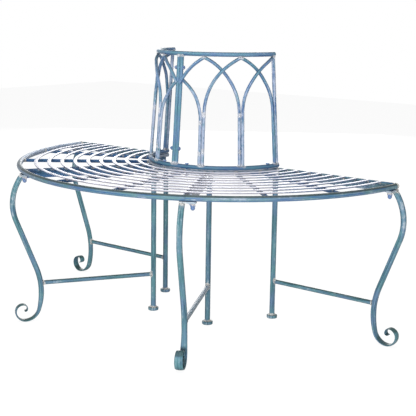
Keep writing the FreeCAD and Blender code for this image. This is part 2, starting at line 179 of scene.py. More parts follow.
def paint_patterns(tree, seed):
    """The noises that cut the layers of paint, and the marks that a piece carries."""
    spot = add(tree, "ShaderNodeTexCoord", out=3)
    along = add(tree, "ShaderNodeAttribute", attribute_name="along", out=2)
    round_it = add(tree, "ShaderNodeAttribute", attribute_name="round_it", out=1)
    slow = add(tree, "ShaderNodeMath", along, streak_width / streak_length, operation="MULTIPLY")
    normal = add(tree, "ShaderNodeNewGeometry", out=1)
    noises = {"patch": (spot, seed, 1 / patch_size, 3.0, 0.6), "daub": (spot, seed, 1 / daub_size, 4.0, 0.65),
              "streak": (round_it, slow, 1 / streak_width, 2.0, 0.5)}
    pattern = {name: add(tree, "ShaderNodeTexNoise", *inputs, noise_dimensions="4D")
               for name, inputs in noises.items()}
    pattern["grain"] = add(tree, "ShaderNodeTexNoise", spot, 1 / grain_size, 3.0, 0.7)
    for name in ("worn", "weld"):
        pattern[name] = add(tree, "ShaderNodeAttribute", attribute_name=name, out=2)
    pattern["skyward"] = add(tree, "ShaderNodeSeparateXYZ", normal, out=2)
    return pattern


sizes = (patch_size, daub_size, grain_size, streak_width, streak_length)
print("patches, daubs, grain and streaks measure, in mm:", [round(size / mm, 1) for size in sizes])

# %% [markdown]
# ### The two coats
# A dry brush leaves ragged edges, so the patches of teal are cut by a second, finer noise. The
# bristles leave furrows too, and the paint in them stays dark when the rest is rubbed.

# %% Blue, teal and furrows
def brushed(tree, pattern, blue, teal, shade, teal_share):
    ragged = add(tree, "ShaderNodeMath", pattern["daub"], 0.25, pattern["patch"], operation="MULTIPLY_ADD")
    # this noise is 0.63 on average, so an edge near that value gives each colour half
    edge = 0.81 - 0.34 * teal_share
    teal_at = add(tree, "ShaderNodeMapRange", ragged, edge - 0.1, edge + 0.1)
    colour = add(tree, "ShaderNodeMix", teal_at, blue, teal, data_type="RGBA")
    furrow = add(tree, "ShaderNodeMapRange", pattern["streak"], 0.5, 0.34, interpolation_type="SMOOTHSTEP")
    furrow = add(tree, "ShaderNodeMath", furrow, 0.7, operation="MULTIPLY")
    return add(tree, "ShaderNodeMix", furrow, colour, shade, data_type="RGBA")


# %% [markdown]
# ### What the wool did, and painted shade
# The wool took most where a piece is handled. What faces down is darkened towards the shade colour,
# which is painted shade. What faces up takes the crown colour: on the rods a dark line that is
# painted shade as well, and on the slats pale rubbed paint. With some finishes, high wear takes the
# crown away again. Bars with a wear below 0 are darkened towards the shade colour too: a dark
# coat, and under the seat painted shade. All of this follows from two values: the wear that a
# piece is given, and how far its surface faces the sky.

# %% Rubbed, shaded and crowned
def weathered(tree, pattern, colour, shade, rubbed, crown, rubbing, crowned, wear_lifts_crown):
    rub = add(tree, "ShaderNodeMath", pattern["daub"], pattern["streak"], operation="ADD")
    rub = add(tree, "ShaderNodeMath", pattern["worn"], 0.5, rub, operation="MULTIPLY_ADD")
    # the two noises add up to 1.0 on average, so without wear only their peaks are rubbed
    rub_edge = 1.35 - 0.25 * rubbing
    rub_at = add(tree, "ShaderNodeMapRange", rub, rub_edge, rub_edge + 0.25)
    colour = add(tree, "ShaderNodeMix", rub_at, colour, rubbed, data_type="RGBA")

    # painted shade: what faces down is darkened towards the shade colour
    underside_shade = add(tree, "ShaderNodeMapRange", pattern["skyward"], -0.4, -0.9, 0.0, 0.6)
    colour = add(tree, "ShaderNodeMix", underside_shade, colour, shade, data_type="RGBA")

    # what faces up takes the crown colour: on the rods a dark line of painted shade, on the slats
    # pale rubbed paint. The stronger the crown, the further down the sides it reaches
    top_shade_and_rub_edge = 1.0 - 0.65 * crowned
    top_shade_and_rub = add(tree, "ShaderNodeMath", pattern["grain"], 0.15, pattern["skyward"], operation="MULTIPLY_ADD")
    top_shade_and_rub = add(tree, "ShaderNodeMapRange", top_shade_and_rub, top_shade_and_rub_edge, top_shade_and_rub_edge + 0.2, 0.0, crowned)
    # with some finishes high wear takes the crown colour away, and the painted shade with it
    spared = add(tree, "ShaderNodeMapRange", pattern["worn"], 0.5, 0.9, 1.0, 1.0 - wear_lifts_crown)
    top_shade_and_rub = add(tree, "ShaderNodeMath", top_shade_and_rub, spared, operation="MULTIPLY")
    colour = add(tree, "ShaderNodeMix", top_shade_and_rub, colour, crown, data_type="RGBA")

    # a wear below 0 darkens towards the shade colour: a dark coat, and painted shade on the bars under the
    # seat
    dark_coat_and_shade = add(tree, "ShaderNodeMapRange", pattern["worn"], 0.0, -1.0, 0.0, 0.85)
    return add(tree, "ShaderNodeMix", dark_coat_and_shade, colour, shade, data_type="RGBA")


# %% [markdown]
# ### Beside the welds
# A weld was ground and its heat scaled the iron, so the paint holds worst there: the undercoat
# shows in daubs, and some of it has chipped off down to the dark iron.

# %% Undercoat and chips
bare_iron = linear("3a3f42")


def chipped(tree, pattern, colour, undercoat):
    # right beside a drop this bares most of the paint, and at the edge of the heat nothing
    bare = add(tree, "ShaderNodeMath", pattern["weld"], 0.55, pattern["daub"], operation="MULTIPLY_ADD")
    bare_at = add(tree, "ShaderNodeMapRange", bare, 0.8, 1.0, 0.0, 0.85)
    colour = add(tree, "ShaderNodeMix", bare_at, colour, undercoat, data_type="RGBA")
    chip = add(tree, "ShaderNodeMath", pattern["weld"], -0.2, pattern["grain"], operation="MULTIPLY_ADD")
    chip_at = add(tree, "ShaderNodeMapRange", chip, 0.3, 0.24, 0.0, 0.9)
    return add(tree, "ShaderNodeMix", chip_at, colour, bare_iron, data_type="RGBA")


# %% [markdown]
# ### The enamel as a material
# Dry oil enamel has the refraction of most paints, 1.5. Its gloss is set far lower than a fresh
# coat's, and the daubs vary how rough it is, so that a lamp breaks up on it as on real brushwork.

# %% The enamel
def enamel(name, colours, seed, teal_share=0.5, rubbing=0.5, crowned=0.7, wear_lifts_crown=1.0,
           roughness=0.3, gloss=0.06):
    """Enamel in layers; colours are blue, teal, shade, rubbed, undercoat and crown.

    The shade darkens the furrows, and it is painted shade on what faces down. The crown is a dark line
    of painted shade along the tops of the rods, and pale rubbed paint on the slats. teal_share,
    rubbing and crowned say how much there is of each, from 0 to 1, and the last share how far wear
    takes the crown away.
    """
    blue, teal, shade, rubbed, undercoat, crown = [linear(c) for c in colours.split()]
    paint = bpy.data.materials.new(name)
    paint.use_nodes = True
    tree = paint.node_tree
    shader = tree.nodes["Principled BSDF"]
    pattern = paint_patterns(tree, seed)
    colour = brushed(tree, pattern, blue, teal, shade, teal_share)
    colour = weathered(tree, pattern, colour, shade, rubbed, crown, rubbing, crowned, wear_lifts_crown)
    colour = chipped(tree, pattern, colour, undercoat)
    tree.links.new(colour, shader.inputs["Base Color"])
    sheen = add(tree, "ShaderNodeMath", pattern["daub"], 0.3, roughness - 0.15, operation="MULTIPLY_ADD")
    tree.links.new(sheen, shader.inputs["Roughness"])
    relief = add(tree, "ShaderNodeMath", pattern["grain"], 0.6, pattern["streak"], operation="MULTIPLY_ADD")
    bump = add(tree, "ShaderNodeBump", 0.4, 0.3 * mm, None, relief)
    tree.links.new(bump, shader.inputs["Normal"])
    shader.inputs["IOR"].default_value = 1.5
    shader.inputs["Specular IOR Level"].default_value = gloss
    return paint


# %% [markdown]
# ### Five finishes
# It is the same enamel on the whole bench, but use and weather wore it in five ways. Each
# finish has its own colours and its own share of teal, and a seed that lays out its patches.

# %% Five finishes
finish = {
    # slate blue and teal in even shares, under a dark line of painted shade along the top
    "seat_frame": enamel("brushed_enamel_on_seat_frame", "697f97 63868c 2b5a92 a5b0c1 dad6ce 363f3b",
                         14.8, rubbing=0.4, crowned=0.85),
    # pale lavender that clothes have polished, so that it turns near white at a low angle
    "slats": enamel("rubbed_enamel_on_slats", "5c7296 67819a 50608a b6b4c0 e6e2e8 cfd0dc",
                    1.0, teal_share=0.3, rubbing=1.0, crowned=1.0, wear_lifts_crown=0.0, roughness=0.35, gloss=0.6),
    # mostly teal and streaked lengthwise, with dark green furrows that show how it was brushed,
    # and painted shade along the tops
    "legs": enamel("brushed_enamel_on_legs", "607b96 5a838b 2a4656 a0adb8 d4d2ce 30443e",
                   48.1, teal_share=0.65, rubbing=0.45),
    # blue rods that hands and backs have rubbed pale, with painted shade along the tops that wear
    # never takes away
    "back": enamel("rubbed_enamel_on_back", "6682a4 608c98 2a4c7c 9eaac0 d4d6dc 3c505c",
                   18.5, rubbing=0.6, wear_lifts_crown=0.0),
    # thick drops of blue that no wool reached, smoother than on the rods
    "fasteners": enamel("thick_enamel_on_fasteners", "5c78a4 5c809c 2f4a74 b8b6b6 d6d2cc 6a80a0",
                        1.0, teal_share=0.2, crowned=0.5, roughness=0.25, gloss=0.5),
}
print("finishes:", ", ".join(paint.name for paint in finish.values()))

# %% [markdown]
# ## Forging a bar
# Nearly every piece is a bar whose section changes little or not at all along its path: a
# round rod, a flat bar, a rod hammered flat towards its tip, even a nut, which is a short
# thick bar with six flats. A curve's own bevel draws round bars only. So this node group
# sweeps a circle along the path and then moves each point of it. The first part stores on the
# path what its points will have to know, because the swept mesh has no path any more.

# %% Starting a tree
def new_tree(name, inputs):
    """A geometry tree with named inputs, given as (name, kind of socket, value)."""
    tree = bpy.data.node_groups.new(name, "GeometryNodeTree")
    tree.interface.new_socket("Geometry", in_out="OUTPUT", socket_type="NodeSocketGeometry")
    for label, kind, value in inputs:
        socket = tree.interface.new_socket(label, in_out="INPUT", socket_type="NodeSocket" + kind)
        if value is not None:
            socket.default_value = value
    return tree, tree.nodes.new("NodeGroupInput").outputs, tree.nodes.new("NodeGroupOutput").inputs[0]


# %% Sweeping the circle
# the inputs that the forging group takes, and that each tree built on it hands on
skin = [("Sides", "Int", 20), ("Squareness", "Float", 2.0), ("Dent depth", "Float", 0.15 * mm),
        ("Dent size", "Float", 14 * mm), ("Seed", "Float", 0.0), ("Paint", "Material", None)]
# added to each bar's streaks, so that no two bars of a piece start with the same ones
streak_step = 0.731


def swept(tree, path, sides):
    length = add(tree, "GeometryNodeSplineParameter", out=1)
    number = add(tree, "GeometryNodeCurveOfPoint")
    along = add(tree, "ShaderNodeMath", number, streak_step, length, operation="MULTIPLY_ADD")
    forward = add(tree, "GeometryNodeInputTangent")
    centre = add(tree, "GeometryNodeInputPosition")
    for name, kind, value in (("along", "FLOAT", along), ("forward", "FLOAT_VECTOR", forward),
                              ("centre", "FLOAT_VECTOR", centre)):
        path = add(tree, "GeometryNodeStoreNamedAttribute", path, None, name, value, data_type=kind)
    circle = add(tree, "GeometryNodeCurvePrimitiveCircle", sides, 1.0, mode="RADIUS")
    return add(tree, "GeometryNodeCurveToMesh", path, circle, None, True)


# %% [markdown]
# ### The section of the bar
# Each point goes out to the half width and half thickness that the path carries there. A power
# of its direction squares the section off for flat bars. For a nut, no point may lie further
# out than the flat in front of it, and for a rod that limit is too far away to matter.

# %% Size, squareness and flats
no_flats = 1.0  # a metre, too far out to cut anything


def section(tree, squareness, across, over):
    """Where a point of the swept circle belongs, as a place on the bar's cross section."""
    size = {name: add(tree, "GeometryNodeInputNamedAttribute", name, data_type="FLOAT")
            for name in ("half_wide", "half_thick", "flat_at")}
    centre = add(tree, "GeometryNodeInputNamedAttribute", "centre", data_type="FLOAT_VECTOR")
    here = add(tree, "GeometryNodeInputPosition")
    away = add(tree, "ShaderNodeVectorMath", here, centre, operation="SUBTRACT")
    power = add(tree, "ShaderNodeMath", 2.0, squareness, operation="DIVIDE")
    reach = []
    for way, half in ((across, size["half_wide"]), (over, size["half_thick"])):
        part = add(tree, "ShaderNodeVectorMath", away, way, operation="DOT_PRODUCT")
        bent = add(tree, "ShaderNodeMath", part, operation="ABSOLUTE")
        bent = add(tree, "ShaderNodeMath", bent, power, operation="POWER")
        bent = add(tree, "ShaderNodeMath", bent, half, operation="MULTIPLY")
        side = add(tree, "ShaderNodeMath", part, operation="SIGN")
        reach.append(add(tree, "ShaderNodeMath", bent, side, operation="MULTIPLY"))

    turn = add(tree, "ShaderNodeMath", reach[1], reach[0], operation="ARCTAN2")
    turn = add(tree, "ShaderNodeMath", turn, pi / 6, -pi / 6, operation="WRAP")
    turn = add(tree, "ShaderNodeMath", turn, operation="COSINE")
    limit = add(tree, "ShaderNodeMath", size["flat_at"], turn, operation="DIVIDE")
    spot = add(tree, "ShaderNodeCombineXYZ", reach[0], reach[1])
    radius = add(tree, "ShaderNodeVectorMath", spot, operation="LENGTH")
    cut = add(tree, "ShaderNodeMath", limit, radius, operation="DIVIDE")
    cut = add(tree, "ShaderNodeMath", cut, 1.0, operation="MINIMUM")
    return add(tree, "ShaderNodeVectorMath", spot, cut, operation="SCALE")


# %% [markdown]
# ### Hammer dents and smooth faces
# A hammer leaves shallow dents, so a coarse noise pushes the surface inwards and never
# outwards: the dressed bar can't grow past the construction. The faces are then shaded as one
# smooth skin, apart from sharp folds such as a nut's edges.

# %% Dents
def dented(tree, bar, given):
    here = add(tree, "GeometryNodeInputPosition")
    fineness = add(tree, "ShaderNodeMath", 1.0, given["Dent size"], operation="DIVIDE")
    dent = add(tree, "ShaderNodeTexNoise", here, given["Seed"], fineness, 1.5, noise_dimensions="4D")
    dent = add(tree, "ShaderNodeMapRange", dent, 0.3, 0.7)
    dent = add(tree, "ShaderNodeMath", dent, given["Dent depth"], operation="MULTIPLY")
    inward = add(tree, "ShaderNodeMath", dent, -1.0, operation="MULTIPLY")
    push = add(tree, "ShaderNodeVectorMath", add(tree, "GeometryNodeInputNormal"), inward, operation="SCALE")
    return add(tree, "GeometryNodeSetPosition", bar, None, None, push)


# %% The forging group
sharp_fold = radians(40)


def forging_group():
    tree, given, result = new_tree("forged bar", [("Path", "Geometry", None)] + skin)
    bar = swept(tree, given["Path"], given["Sides"])
    kept = {name: add(tree, "GeometryNodeInputNamedAttribute", name, data_type="FLOAT_VECTOR")
            for name in ("forward", "centre", "across", "round_it")}
    over = add(tree, "ShaderNodeVectorMath", kept["across"], kept["forward"], operation="CROSS_PRODUCT")
    spot = section(tree, given["Squareness"], kept["across"], over)
    bar = add(tree, "GeometryNodeStoreNamedAttribute", bar, None, "round_it", spot, data_type="FLOAT_VECTOR")
    x = add(tree, "ShaderNodeSeparateXYZ", kept["round_it"], out=0)
    y = add(tree, "ShaderNodeSeparateXYZ", kept["round_it"], out=1)
    step = add(tree, "ShaderNodeVectorMath", kept["across"], x, kept["centre"], operation="MULTIPLY_ADD")
    step = add(tree, "ShaderNodeVectorMath", over, y, step, operation="MULTIPLY_ADD")
    bar = add(tree, "GeometryNodeSetPosition", bar, None, step)
    bar = dented(tree, bar, given)
    # the sizes have done their work, and the streaks still need along and round_it
    for name in ("centre", "forward", "across", "half_wide", "half_thick", "flat_at"):
        bar = add(tree, "GeometryNodeRemoveAttribute", bar, name)

    bar = add(tree, "GeometryNodeSetShadeSmooth", bar, None, True)
    fold = add(tree, "GeometryNodeInputMeshEdgeAngle")
    sharp = add(tree, "FunctionNodeCompare", fold, sharp_fold, operation="GREATER_THAN")
    bar = add(tree, "GeometryNodeSetShadeSmooth", bar, sharp, False, domain="EDGE")
    bar = add(tree, "GeometryNodeRealizeInstances", bar)
    bar = add(tree, "GeometryNodeSetMaterial", bar, None, given["Paint"])
    tree.links.new(bar, result)
    return tree


forging = forging_group()
print("the forging group has", len(forging.nodes), "nodes")

# %% [markdown]
# ## From a tree to a piece
# A modifier shows what a tree makes, but the bench should be plain meshes. So each tree runs
# once on a helper object, its result is copied out as a mesh, and the helper is removed. The
# mesh already lies in its place, so the piece stays at the origin, as the frame wants.

# %% Running a tree
def grown(name, tree, values, source=None):
    helper = bpy.data.objects.new(name + "_helper", source or bpy.data.meshes.new(name + "_helper"))
    scene.collection.objects.link(helper)
    modifier = helper.modifiers.new("tree", "NODES")
    modifier.node_group = tree
    for item in tree.interface.items_tree:
        if item.in_out == "INPUT" and item.name in values:
            modifier[item.identifier] = values[item.name]
    mesh = bpy.data.meshes.new_from_object(helper.evaluated_get(bpy.context.evaluated_depsgraph_get()))
    bpy.data.objects.remove(helper)
    mesh.name = name
    piece = bpy.data.objects.new(name, mesh)
    scene.collection.objects.link(piece)
    return piece


# %% Dressing the construction
dressed = []


def dress(piece, nodes):
    """Lets a piece stand for nodes of the construction and ride with the bench."""
    dressed.append(piece)
    if nodes:
        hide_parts(*nodes)
    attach(piece, "root")
    triangles = sum(len(face.vertices) - 2 for face in piece.data.polygons)
    print(f"{piece.name}: {triangles} triangles for {', '.join(nodes) or 'no node'}")


# %% [markdown]
# ## Rings: rims, rails and slats
# The rims, the rails of the back and the slats are all arcs round the same axis. A spin or an
# array would make one at a time. One tree draws any number of them from a first radius and a
# pitch. Each arc keeps a space from its first and last bearing that is the same for all, so
# that the slat ends lie in line along the straight bars.

# %% Numbered lines
def numbered_lines(tree, bars, points):
    """One line for each bar, which knows its row."""
    dots = add(tree, "GeometryNodePoints", bars)
    index = add(tree, "GeometryNodeInputIndex")
    dots = add(tree, "GeometryNodeStoreNamedAttribute", dots, None, "row", index, data_type="FLOAT")
    line = add(tree, "GeometryNodeCurvePrimitiveLine")
    lines = add(tree, "GeometryNodeInstanceOnPoints", dots, None, line)
    lines = add(tree, "GeometryNodeRealizeInstances", lines)
    return add(tree, "GeometryNodeResampleCurve", lines, None, points)


# %% Bearings along an arc
def arc_bearing(tree, given, radius):
    """The bearing of each point; a space is a length, so its angle depends on the radius."""
    ends = []
    for label, operation in (("First", "ADD"), ("Last", "SUBTRACT")):
        space = add(tree, "ShaderNodeMath", given[label + " space"], radius, operation="DIVIDE")
        space = add(tree, "ShaderNodeMath", space, operation="ARCSINE")
        ends.append(add(tree, "ShaderNodeMath", given[label + " bearing"], space, operation=operation))
    share = add(tree, "GeometryNodeSplineParameter")
    return add(tree, "ShaderNodeMapRange", share, 0.0, 1.0, ends[0], ends[1])


# %% The ring tree
def ring_tree():
    tree, given, result = new_tree("ring bars", [
        ("Bars", "Int", 1), ("First radius", "Float", 200 * mm), ("Pitch", "Float", 0.0),
        ("First bearing", "Float", 0.0), ("Last bearing", "Float", 1.0),
        ("First space", "Float", 0.0), ("Last space", "Float", 0.0),
        ("Height", "Float", 400 * mm), ("Axis", "Float", 0.0), ("Points", "Int", 80), ("Worn", "Float", 0.5),
        ("Half width", "Float", 5 * mm), ("Half thickness", "Float", 2 * mm)] + skin)
    bars = numbered_lines(tree, given["Bars"], given["Points"])
    row = add(tree, "GeometryNodeInputNamedAttribute", "row", data_type="FLOAT")
    radius = add(tree, "ShaderNodeMath", row, given["Pitch"], given["First radius"], operation="MULTIPLY_ADD")
    bearing = arc_bearing(tree, given, radius)
    east = add(tree, "ShaderNodeMath", bearing, operation="COSINE")
    south = add(tree, "ShaderNodeMath", bearing, operation="SINE")
    south = add(tree, "ShaderNodeMath", south, -1.0, operation="MULTIPLY")
    outward = add(tree, "ShaderNodeCombineXYZ", east, south)
    for name, kind, value in (("across", "FLOAT_VECTOR", outward), ("flat_at", "FLOAT", no_flats),
                              ("half_wide", "FLOAT", given["Half width"]),
                              ("half_thick", "FLOAT", given["Half thickness"]),
                              ("worn", "FLOAT", given["Worn"])):
        bars = add(tree, "GeometryNodeStoreNamedAttribute", bars, None, name, value, data_type=kind)
    middle = add(tree, "ShaderNodeCombineXYZ", 0.0, given["Axis"], given["Height"])
    outward = add(tree, "GeometryNodeInputNamedAttribute", "across", data_type="FLOAT_VECTOR")
    at = add(tree, "ShaderNodeVectorMath", outward, radius, middle, operation="MULTIPLY_ADD")
    bars = add(tree, "GeometryNodeSetPosition", bars, None, at)
    bars = add(tree, "GeometryNodeGroup", bars, *[given[label] for label, *rest in skin], node_tree=forging)
    tree.links.new(bars, result)
    return tree


rings = ring_tree()
print("the ring tree has", len(rings.nodes), "nodes")

# %% Bars from the ring tree
def ring_bars(name, slot, node, bearings, spaces, radius, height, wide, thick, **more):
    """Arcs between two bearings; wide and thick are the bar's full sizes."""
    values = {"First bearing": radians(bearings[0]), "Last bearing": radians(bearings[1]),
              "First space": spaces[0], "Last space": spaces[1], "First radius": radius, "Height": height,
              "Axis": axis_y, "Half width": wide / 2, "Half thickness": thick / 2, "Paint": finish[slot]}
    values.update({key.replace("_", " ").capitalize(): value for key, value in more.items()})
    dress(grown(name, rings, values), [node])


# %% [markdown]
# ### Rims
# The rim tube is what legs brush against. Its middle section is rubbed a little less than the
# others, and the hoop round the tree, where hands take hold, is rubbed far more.

# %% Rims
rim_wear = {"right": 0.4, "front": 0.25, "left": 0.4}
hoop_wear = 0.9
for number, (name, first) in enumerate(sections.items()):
    bearings = (first, first + section_angle)
    spaces = (fit_gap * (number > 0), fit_gap * (number < 2))
    ring_bars("rim_tube_" + name, "seat_frame", "outer_rim_" + name, bearings, spaces, rim_radius, rim_height,
              rim_tube, rim_tube, points=120, sides=28, seed=1.4 + number, dent_size=26 * mm,
              worn=rim_wear[name])
    ring_bars("hoop_" + name, "seat_frame", "inner_rim_" + name, bearings, spaces, ring_radius, hoop_height,
              hoop_rod, hoop_rod, points=60, sides=24, seed=4.1 + number, dent_size=20 * mm, worn=hoop_wear)

# %% [markdown]
# ### Rails of the back
# Each panel of the back has a rail at its foot and one at its head. The lower one lies close
# above the hoop, where the wool hardly reached, so it is darker.

# %% Rails
foot_rail_wear = -0.35
head_rail_wear = 0.1
# a hair thinner than the rod, so that no facet rises above the construction's box
head_rail_rod = rail_rod - 0.1 * mm
for number, name in enumerate(("right", "left")):
    bearings = (number * panel_angle, (number + 1) * panel_angle)
    spaces = (fit_gap / 2 * (number == 1), fit_gap / 2 * (number == 0))
    ring_bars("foot_rail_" + name, "back", "bottom_rail_" + name, bearings, spaces, ring_radius, rail_low,
              rail_rod, rail_rod, points=90, sides=24, seed=7.3 + number, dent_size=20 * mm,
              worn=foot_rail_wear)
    ring_bars("head_rail_" + name, "back", "top_rail_" + name, bearings, spaces, top_radius, rail_high,
              rail_rod, head_rail_rod, points=90, sides=24, seed=9.6 + number, dent_size=20 * mm,
              worn=head_rail_wear)

# %% [markdown]
# ### Slats
# Each of the three sections has nine slats of flat bar, laid on their flat side and evenly
# spaced. They stop against the bars that close the straight ends, and nearly touch where
# sections meet. They come flat from the mill, so their dents are hardly deeper than the paint.

# %% Slats
slat_width = 11 * mm
slat_count = 9
slat_first = ring_radius + 34 * mm
slat_last = axis_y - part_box("slats_front")[0].y - slat_width / 2
slat_pitch = (slat_last - slat_first) / (slat_count - 1)
edge_bar_width = 5 * mm
for number, (name, first) in enumerate(sections.items()):
    ring_bars("seat_slats_" + name, "slats", "slats_" + name, (first, first + section_angle),
              (fit_gap if number else edge_bar_width, fit_gap if number < 2 else edge_bar_width),
              slat_first, (seat_top + slat_bottom) / 2, slat_width, slat_thickness, bars=slat_count,
              pitch=slat_pitch, points=90, sides=20, squareness=5.0, seed=12.2 + 5 * number,
              dent_size=18 * mm, dent_depth=0.05 * mm, worn=0.0)
print("slats lie", round(slat_pitch / mm, 1), "mm apart")

# %% [markdown]
# ## Bars along paths
# Spokes, legs and the rods of the back follow paths of their own. Each path is a list of
# stations: a point, the half width and half thickness there, and the direction of the width.
# The stations become a wire mesh whose points carry those values, and a second small tree
# turns the wire into curves and forges them.

# %% The path tree
def path_tree():
    tree, given, result = new_tree("path bars", [("Geometry", "Geometry", None)] + skin)
    bars = add(tree, "GeometryNodeMeshToCurve", given["Geometry"])
    bars = add(tree, "GeometryNodeGroup", bars, *[given[label] for label, *rest in skin], node_tree=forging)
    tree.links.new(bars, result)
    return tree


paths_of_bars = path_tree()
print("the path tree has", len(paths_of_bars.nodes), "nodes")

# %% From stations to bars
def wire(name, paths, worn, flats):
    """A wire mesh that carries the stations of its paths as attributes."""
    stations = [station for path in paths for station in path]
    edges = []
    start = 0
    for path in paths:
        edges += [(start + k, start + k + 1) for k in range(len(path) - 1)]
        start += len(path)
    mesh = bpy.data.meshes.new(name)
    mesh.from_pydata([point for point, wide, thick, across in stations], edges, [])
    columns = {"half_wide": [wide for point, wide, thick, across in stations],
               "half_thick": [thick for point, wide, thick, across in stations],
               "worn": [worn(point) if callable(worn) else worn for point, *rest in stations],
               "flat_at": [flats / 2 or no_flats] * len(stations)}
    for label, values in columns.items():
        mesh.attributes.new(label, "FLOAT", "POINT").data.foreach_set("value", values)
    across = [value for station in stations for value in station[3]]
    mesh.attributes.new("across", "FLOAT_VECTOR", "POINT").data.foreach_set("vector", across)
    return mesh


def path_bars(name, slot, nodes, paths, worn=0.4, flats=0.0, **more):
    """Forged bars along paths, as one piece; worn is a number or a rule for a point."""
    values = {"Paint": finish[slot]}
    values.update({key.replace("_", " ").capitalize(): value for key, value in more.items()})
    dress(grown(name, paths_of_bars, values, wire(name + "_wire", paths, worn, flats)), nodes)


# %% Straight bars
def straight_bar(start, end, wide, thick, across, edge=0.8 * mm, step=8 * mm):
    """A straight bar whose sawn ends are filed round over the edge size."""
    length = (end - start).length
    forward = (end - start) / length
    corner = [(edge * (1 - cos(a)), edge * (1 - sin(a))) for a in (0.0, pi / 6, pi / 3, pi / 2)]
    count = ceil(length / step)
    middle = [(edge + (length - 2 * edge) * k / count, 0.0) for k in range(1, count)]
    cuts = corner + middle + [(length - distance, cut) for distance, cut in reversed(corner)]
    return [(start + forward * distance, wide / 2 - cut, thick / 2 - cut, across) for distance, cut in cuts]


# %% [markdown]
# ## Spokes and bars under the slats
# The slats rest on flat bars set on edge. Each section has two spokes, a deeper bar closes
# each straight end of the seat, and where two sections meet there are two bars side by side.
# The spokes are darkened under the seat, which is painted shade, and the left pair keeps a dark
# coat. The right pair is painted pale, a painted reflection on faces seen at a low angle.

# %% Spokes and bars
bar_start = ring_radius + hoop_rod / 2 + fit_gap
bar_end = rim_radius - rim_tube / 2 - fit_gap
spoke_width = 5 * mm
joint_bar_width = 4 * mm
joint_bar_setback = 7 * mm
flat_bar = {"sides": 24, "squareness": 7.0, "dent_size": 18 * mm}
# painted shade: the spokes under the seat are darkened towards the shade colour
under_seat_shade = -0.8
# the right pair is painted pale as a painted reflection; the left pair keeps a dark coat
joint_bar_wear_and_gleam = {"right": 1.1, "left": -0.6}
spoke_bearings = [first + section_angle * k / 3 for first in sections.values() for k in (1, 2)]
joint_bearings = {"right": section_angle, "left": 2 * section_angle}


def radial_bar(bearing, aside, width, low, high):
    middle = (low + high) / 2
    return straight_bar(place(bar_start, bearing, middle, aside), place(bar_end, bearing, middle, aside),
                        width, high - low, sideways(bearing), edge=0.6 * mm)


for number, name in enumerate(sections):
    pair = [radial_bar(bearing, 0.0, spoke_width, slat_bottom - spoke_height, slat_bottom)
            for bearing in spoke_bearings[2 * number:2 * number + 2]]
    path_bars("spoke_pair_" + name, "seat_frame", ["spokes_" + name], pair, seed=21.0 + number,
              worn=under_seat_shade, **flat_bar)
for number, (name, bearing) in enumerate(joint_bearings.items()):
    aside = joint_bar_setback + joint_bar_width / 2
    pair = [radial_bar(bearing, side * aside, joint_bar_width, bar_bottom, slat_bottom) for side in (-1, 1)]
    path_bars("joint_bar_pair_" + name, "seat_frame", ["joint_bars_" + name], pair, seed=25.0 + number,
              worn=joint_bar_wear_and_gleam[name], **flat_bar)
for name, bearing, side in (("right", 0.0, 1), ("left", 180.0, -1)):
    bar = radial_bar(bearing, side * edge_bar_width / 2, edge_bar_width, bar_bottom, seat_top)
    path_bars("end_bar_" + name, "seat_frame", ["edge_bar_" + name], [bar], seed=28.0 + side, **flat_bar)

# %% [markdown]
# ## Scroll legs
# Each scroll leg is one rod, bent over a jig: out in a bulge, in to a waist, then hammered
# flat and rolled up into a scroll. A free-hand curve would not repeat four times, and the
# smith's jig is made of round formers anyway. So the path is a chain of bends that share their
# tangents. The heading is the angle turned outwards from straight down.

# %% Sizes of a leg
leg_rod = 16 * mm
bulge_bend = 135 * mm
bulge_height = seat_top - 106 * mm
leg_top_radius = rim_radius - 3 * mm
waist_bend = 200 * mm
waist_radius = rim_radius - 47 * mm
waist_height = 88 * mm
scroll_bends = [42 * mm, 28 * mm, 21 * mm, 13 * mm, 7 * mm]
blade_width = 24 * mm
blade_thickness = 6 * mm
tip_width = 20 * mm
tip_thickness = 3.2 * mm
plate_thickness = 5 * mm
plate_top = rim_height - rim_tube / 2 - fit_gap
leg_top = plate_top - plate_thickness - fit_gap
# the rod starts this much too early, in radians round the bulge, and is sawn off level later
sawn_off = 0.07


# %% The leg's path
def bend(path, centre_radius, centre_height, size, first, last, steps):
    """Adds a bend to a path of (radius, height, heading), from one heading to another."""
    for k in range(steps + 1):
        a = first + (last - first) * k / steps
        path.append((centre_radius - size * cos(a), centre_height - size * sin(a), a))


def leg_path():
    rise = asin((plate_top - bulge_height) / bulge_bend)
    bulge_centre = leg_top_radius - bulge_bend * cos(rise)
    waist_centre = waist_radius + waist_bend
    across, drop = waist_centre - bulge_centre, bulge_height - waist_height
    slope = acos((bulge_bend + waist_bend) / hypot(across, drop)) - atan2(drop, across)
    leave = asin((waist_height - blade_thickness / 2 - scroll_bends[0]) / (waist_bend - scroll_bends[0]))
    path = []
    bend(path, bulge_centre, bulge_height, -bulge_bend, rise + sawn_off, slope, 38)
    bend(path, waist_centre, waist_height, waist_bend, slope, 0.0, 24)
    rod_end = path[-1]
    bend(path, waist_centre, waist_height, waist_bend, 0.0, leave, 12)
    first = leave
    for number, size in enumerate(scroll_bends):
        radius, height, heading = path[-1]
        last = (number + 1) * pi / 2 + radians(10) * (number == len(scroll_bends) - 1)
        bend(path, radius + size * cos(first), height + size * sin(first), size, first, last, 16)
        first = last
    kept = [path[0]] + [b for a, b in zip(path, path[1:]) if hypot(b[0] - a[0], b[1] - a[1]) > 0.01 * mm]
    return kept, rod_end


print("the path of a leg has", len(leg_path()[0]), "stations")

# %% [markdown]
# ### Hammering the rod
# The rod stays round down to the waist. From there the hammer made it wider and thinner, and
# the rolled end is thinner still. Each station of a path has a width and a thickness of its
# own, so the hammering is two numbers that follow the length along the path.

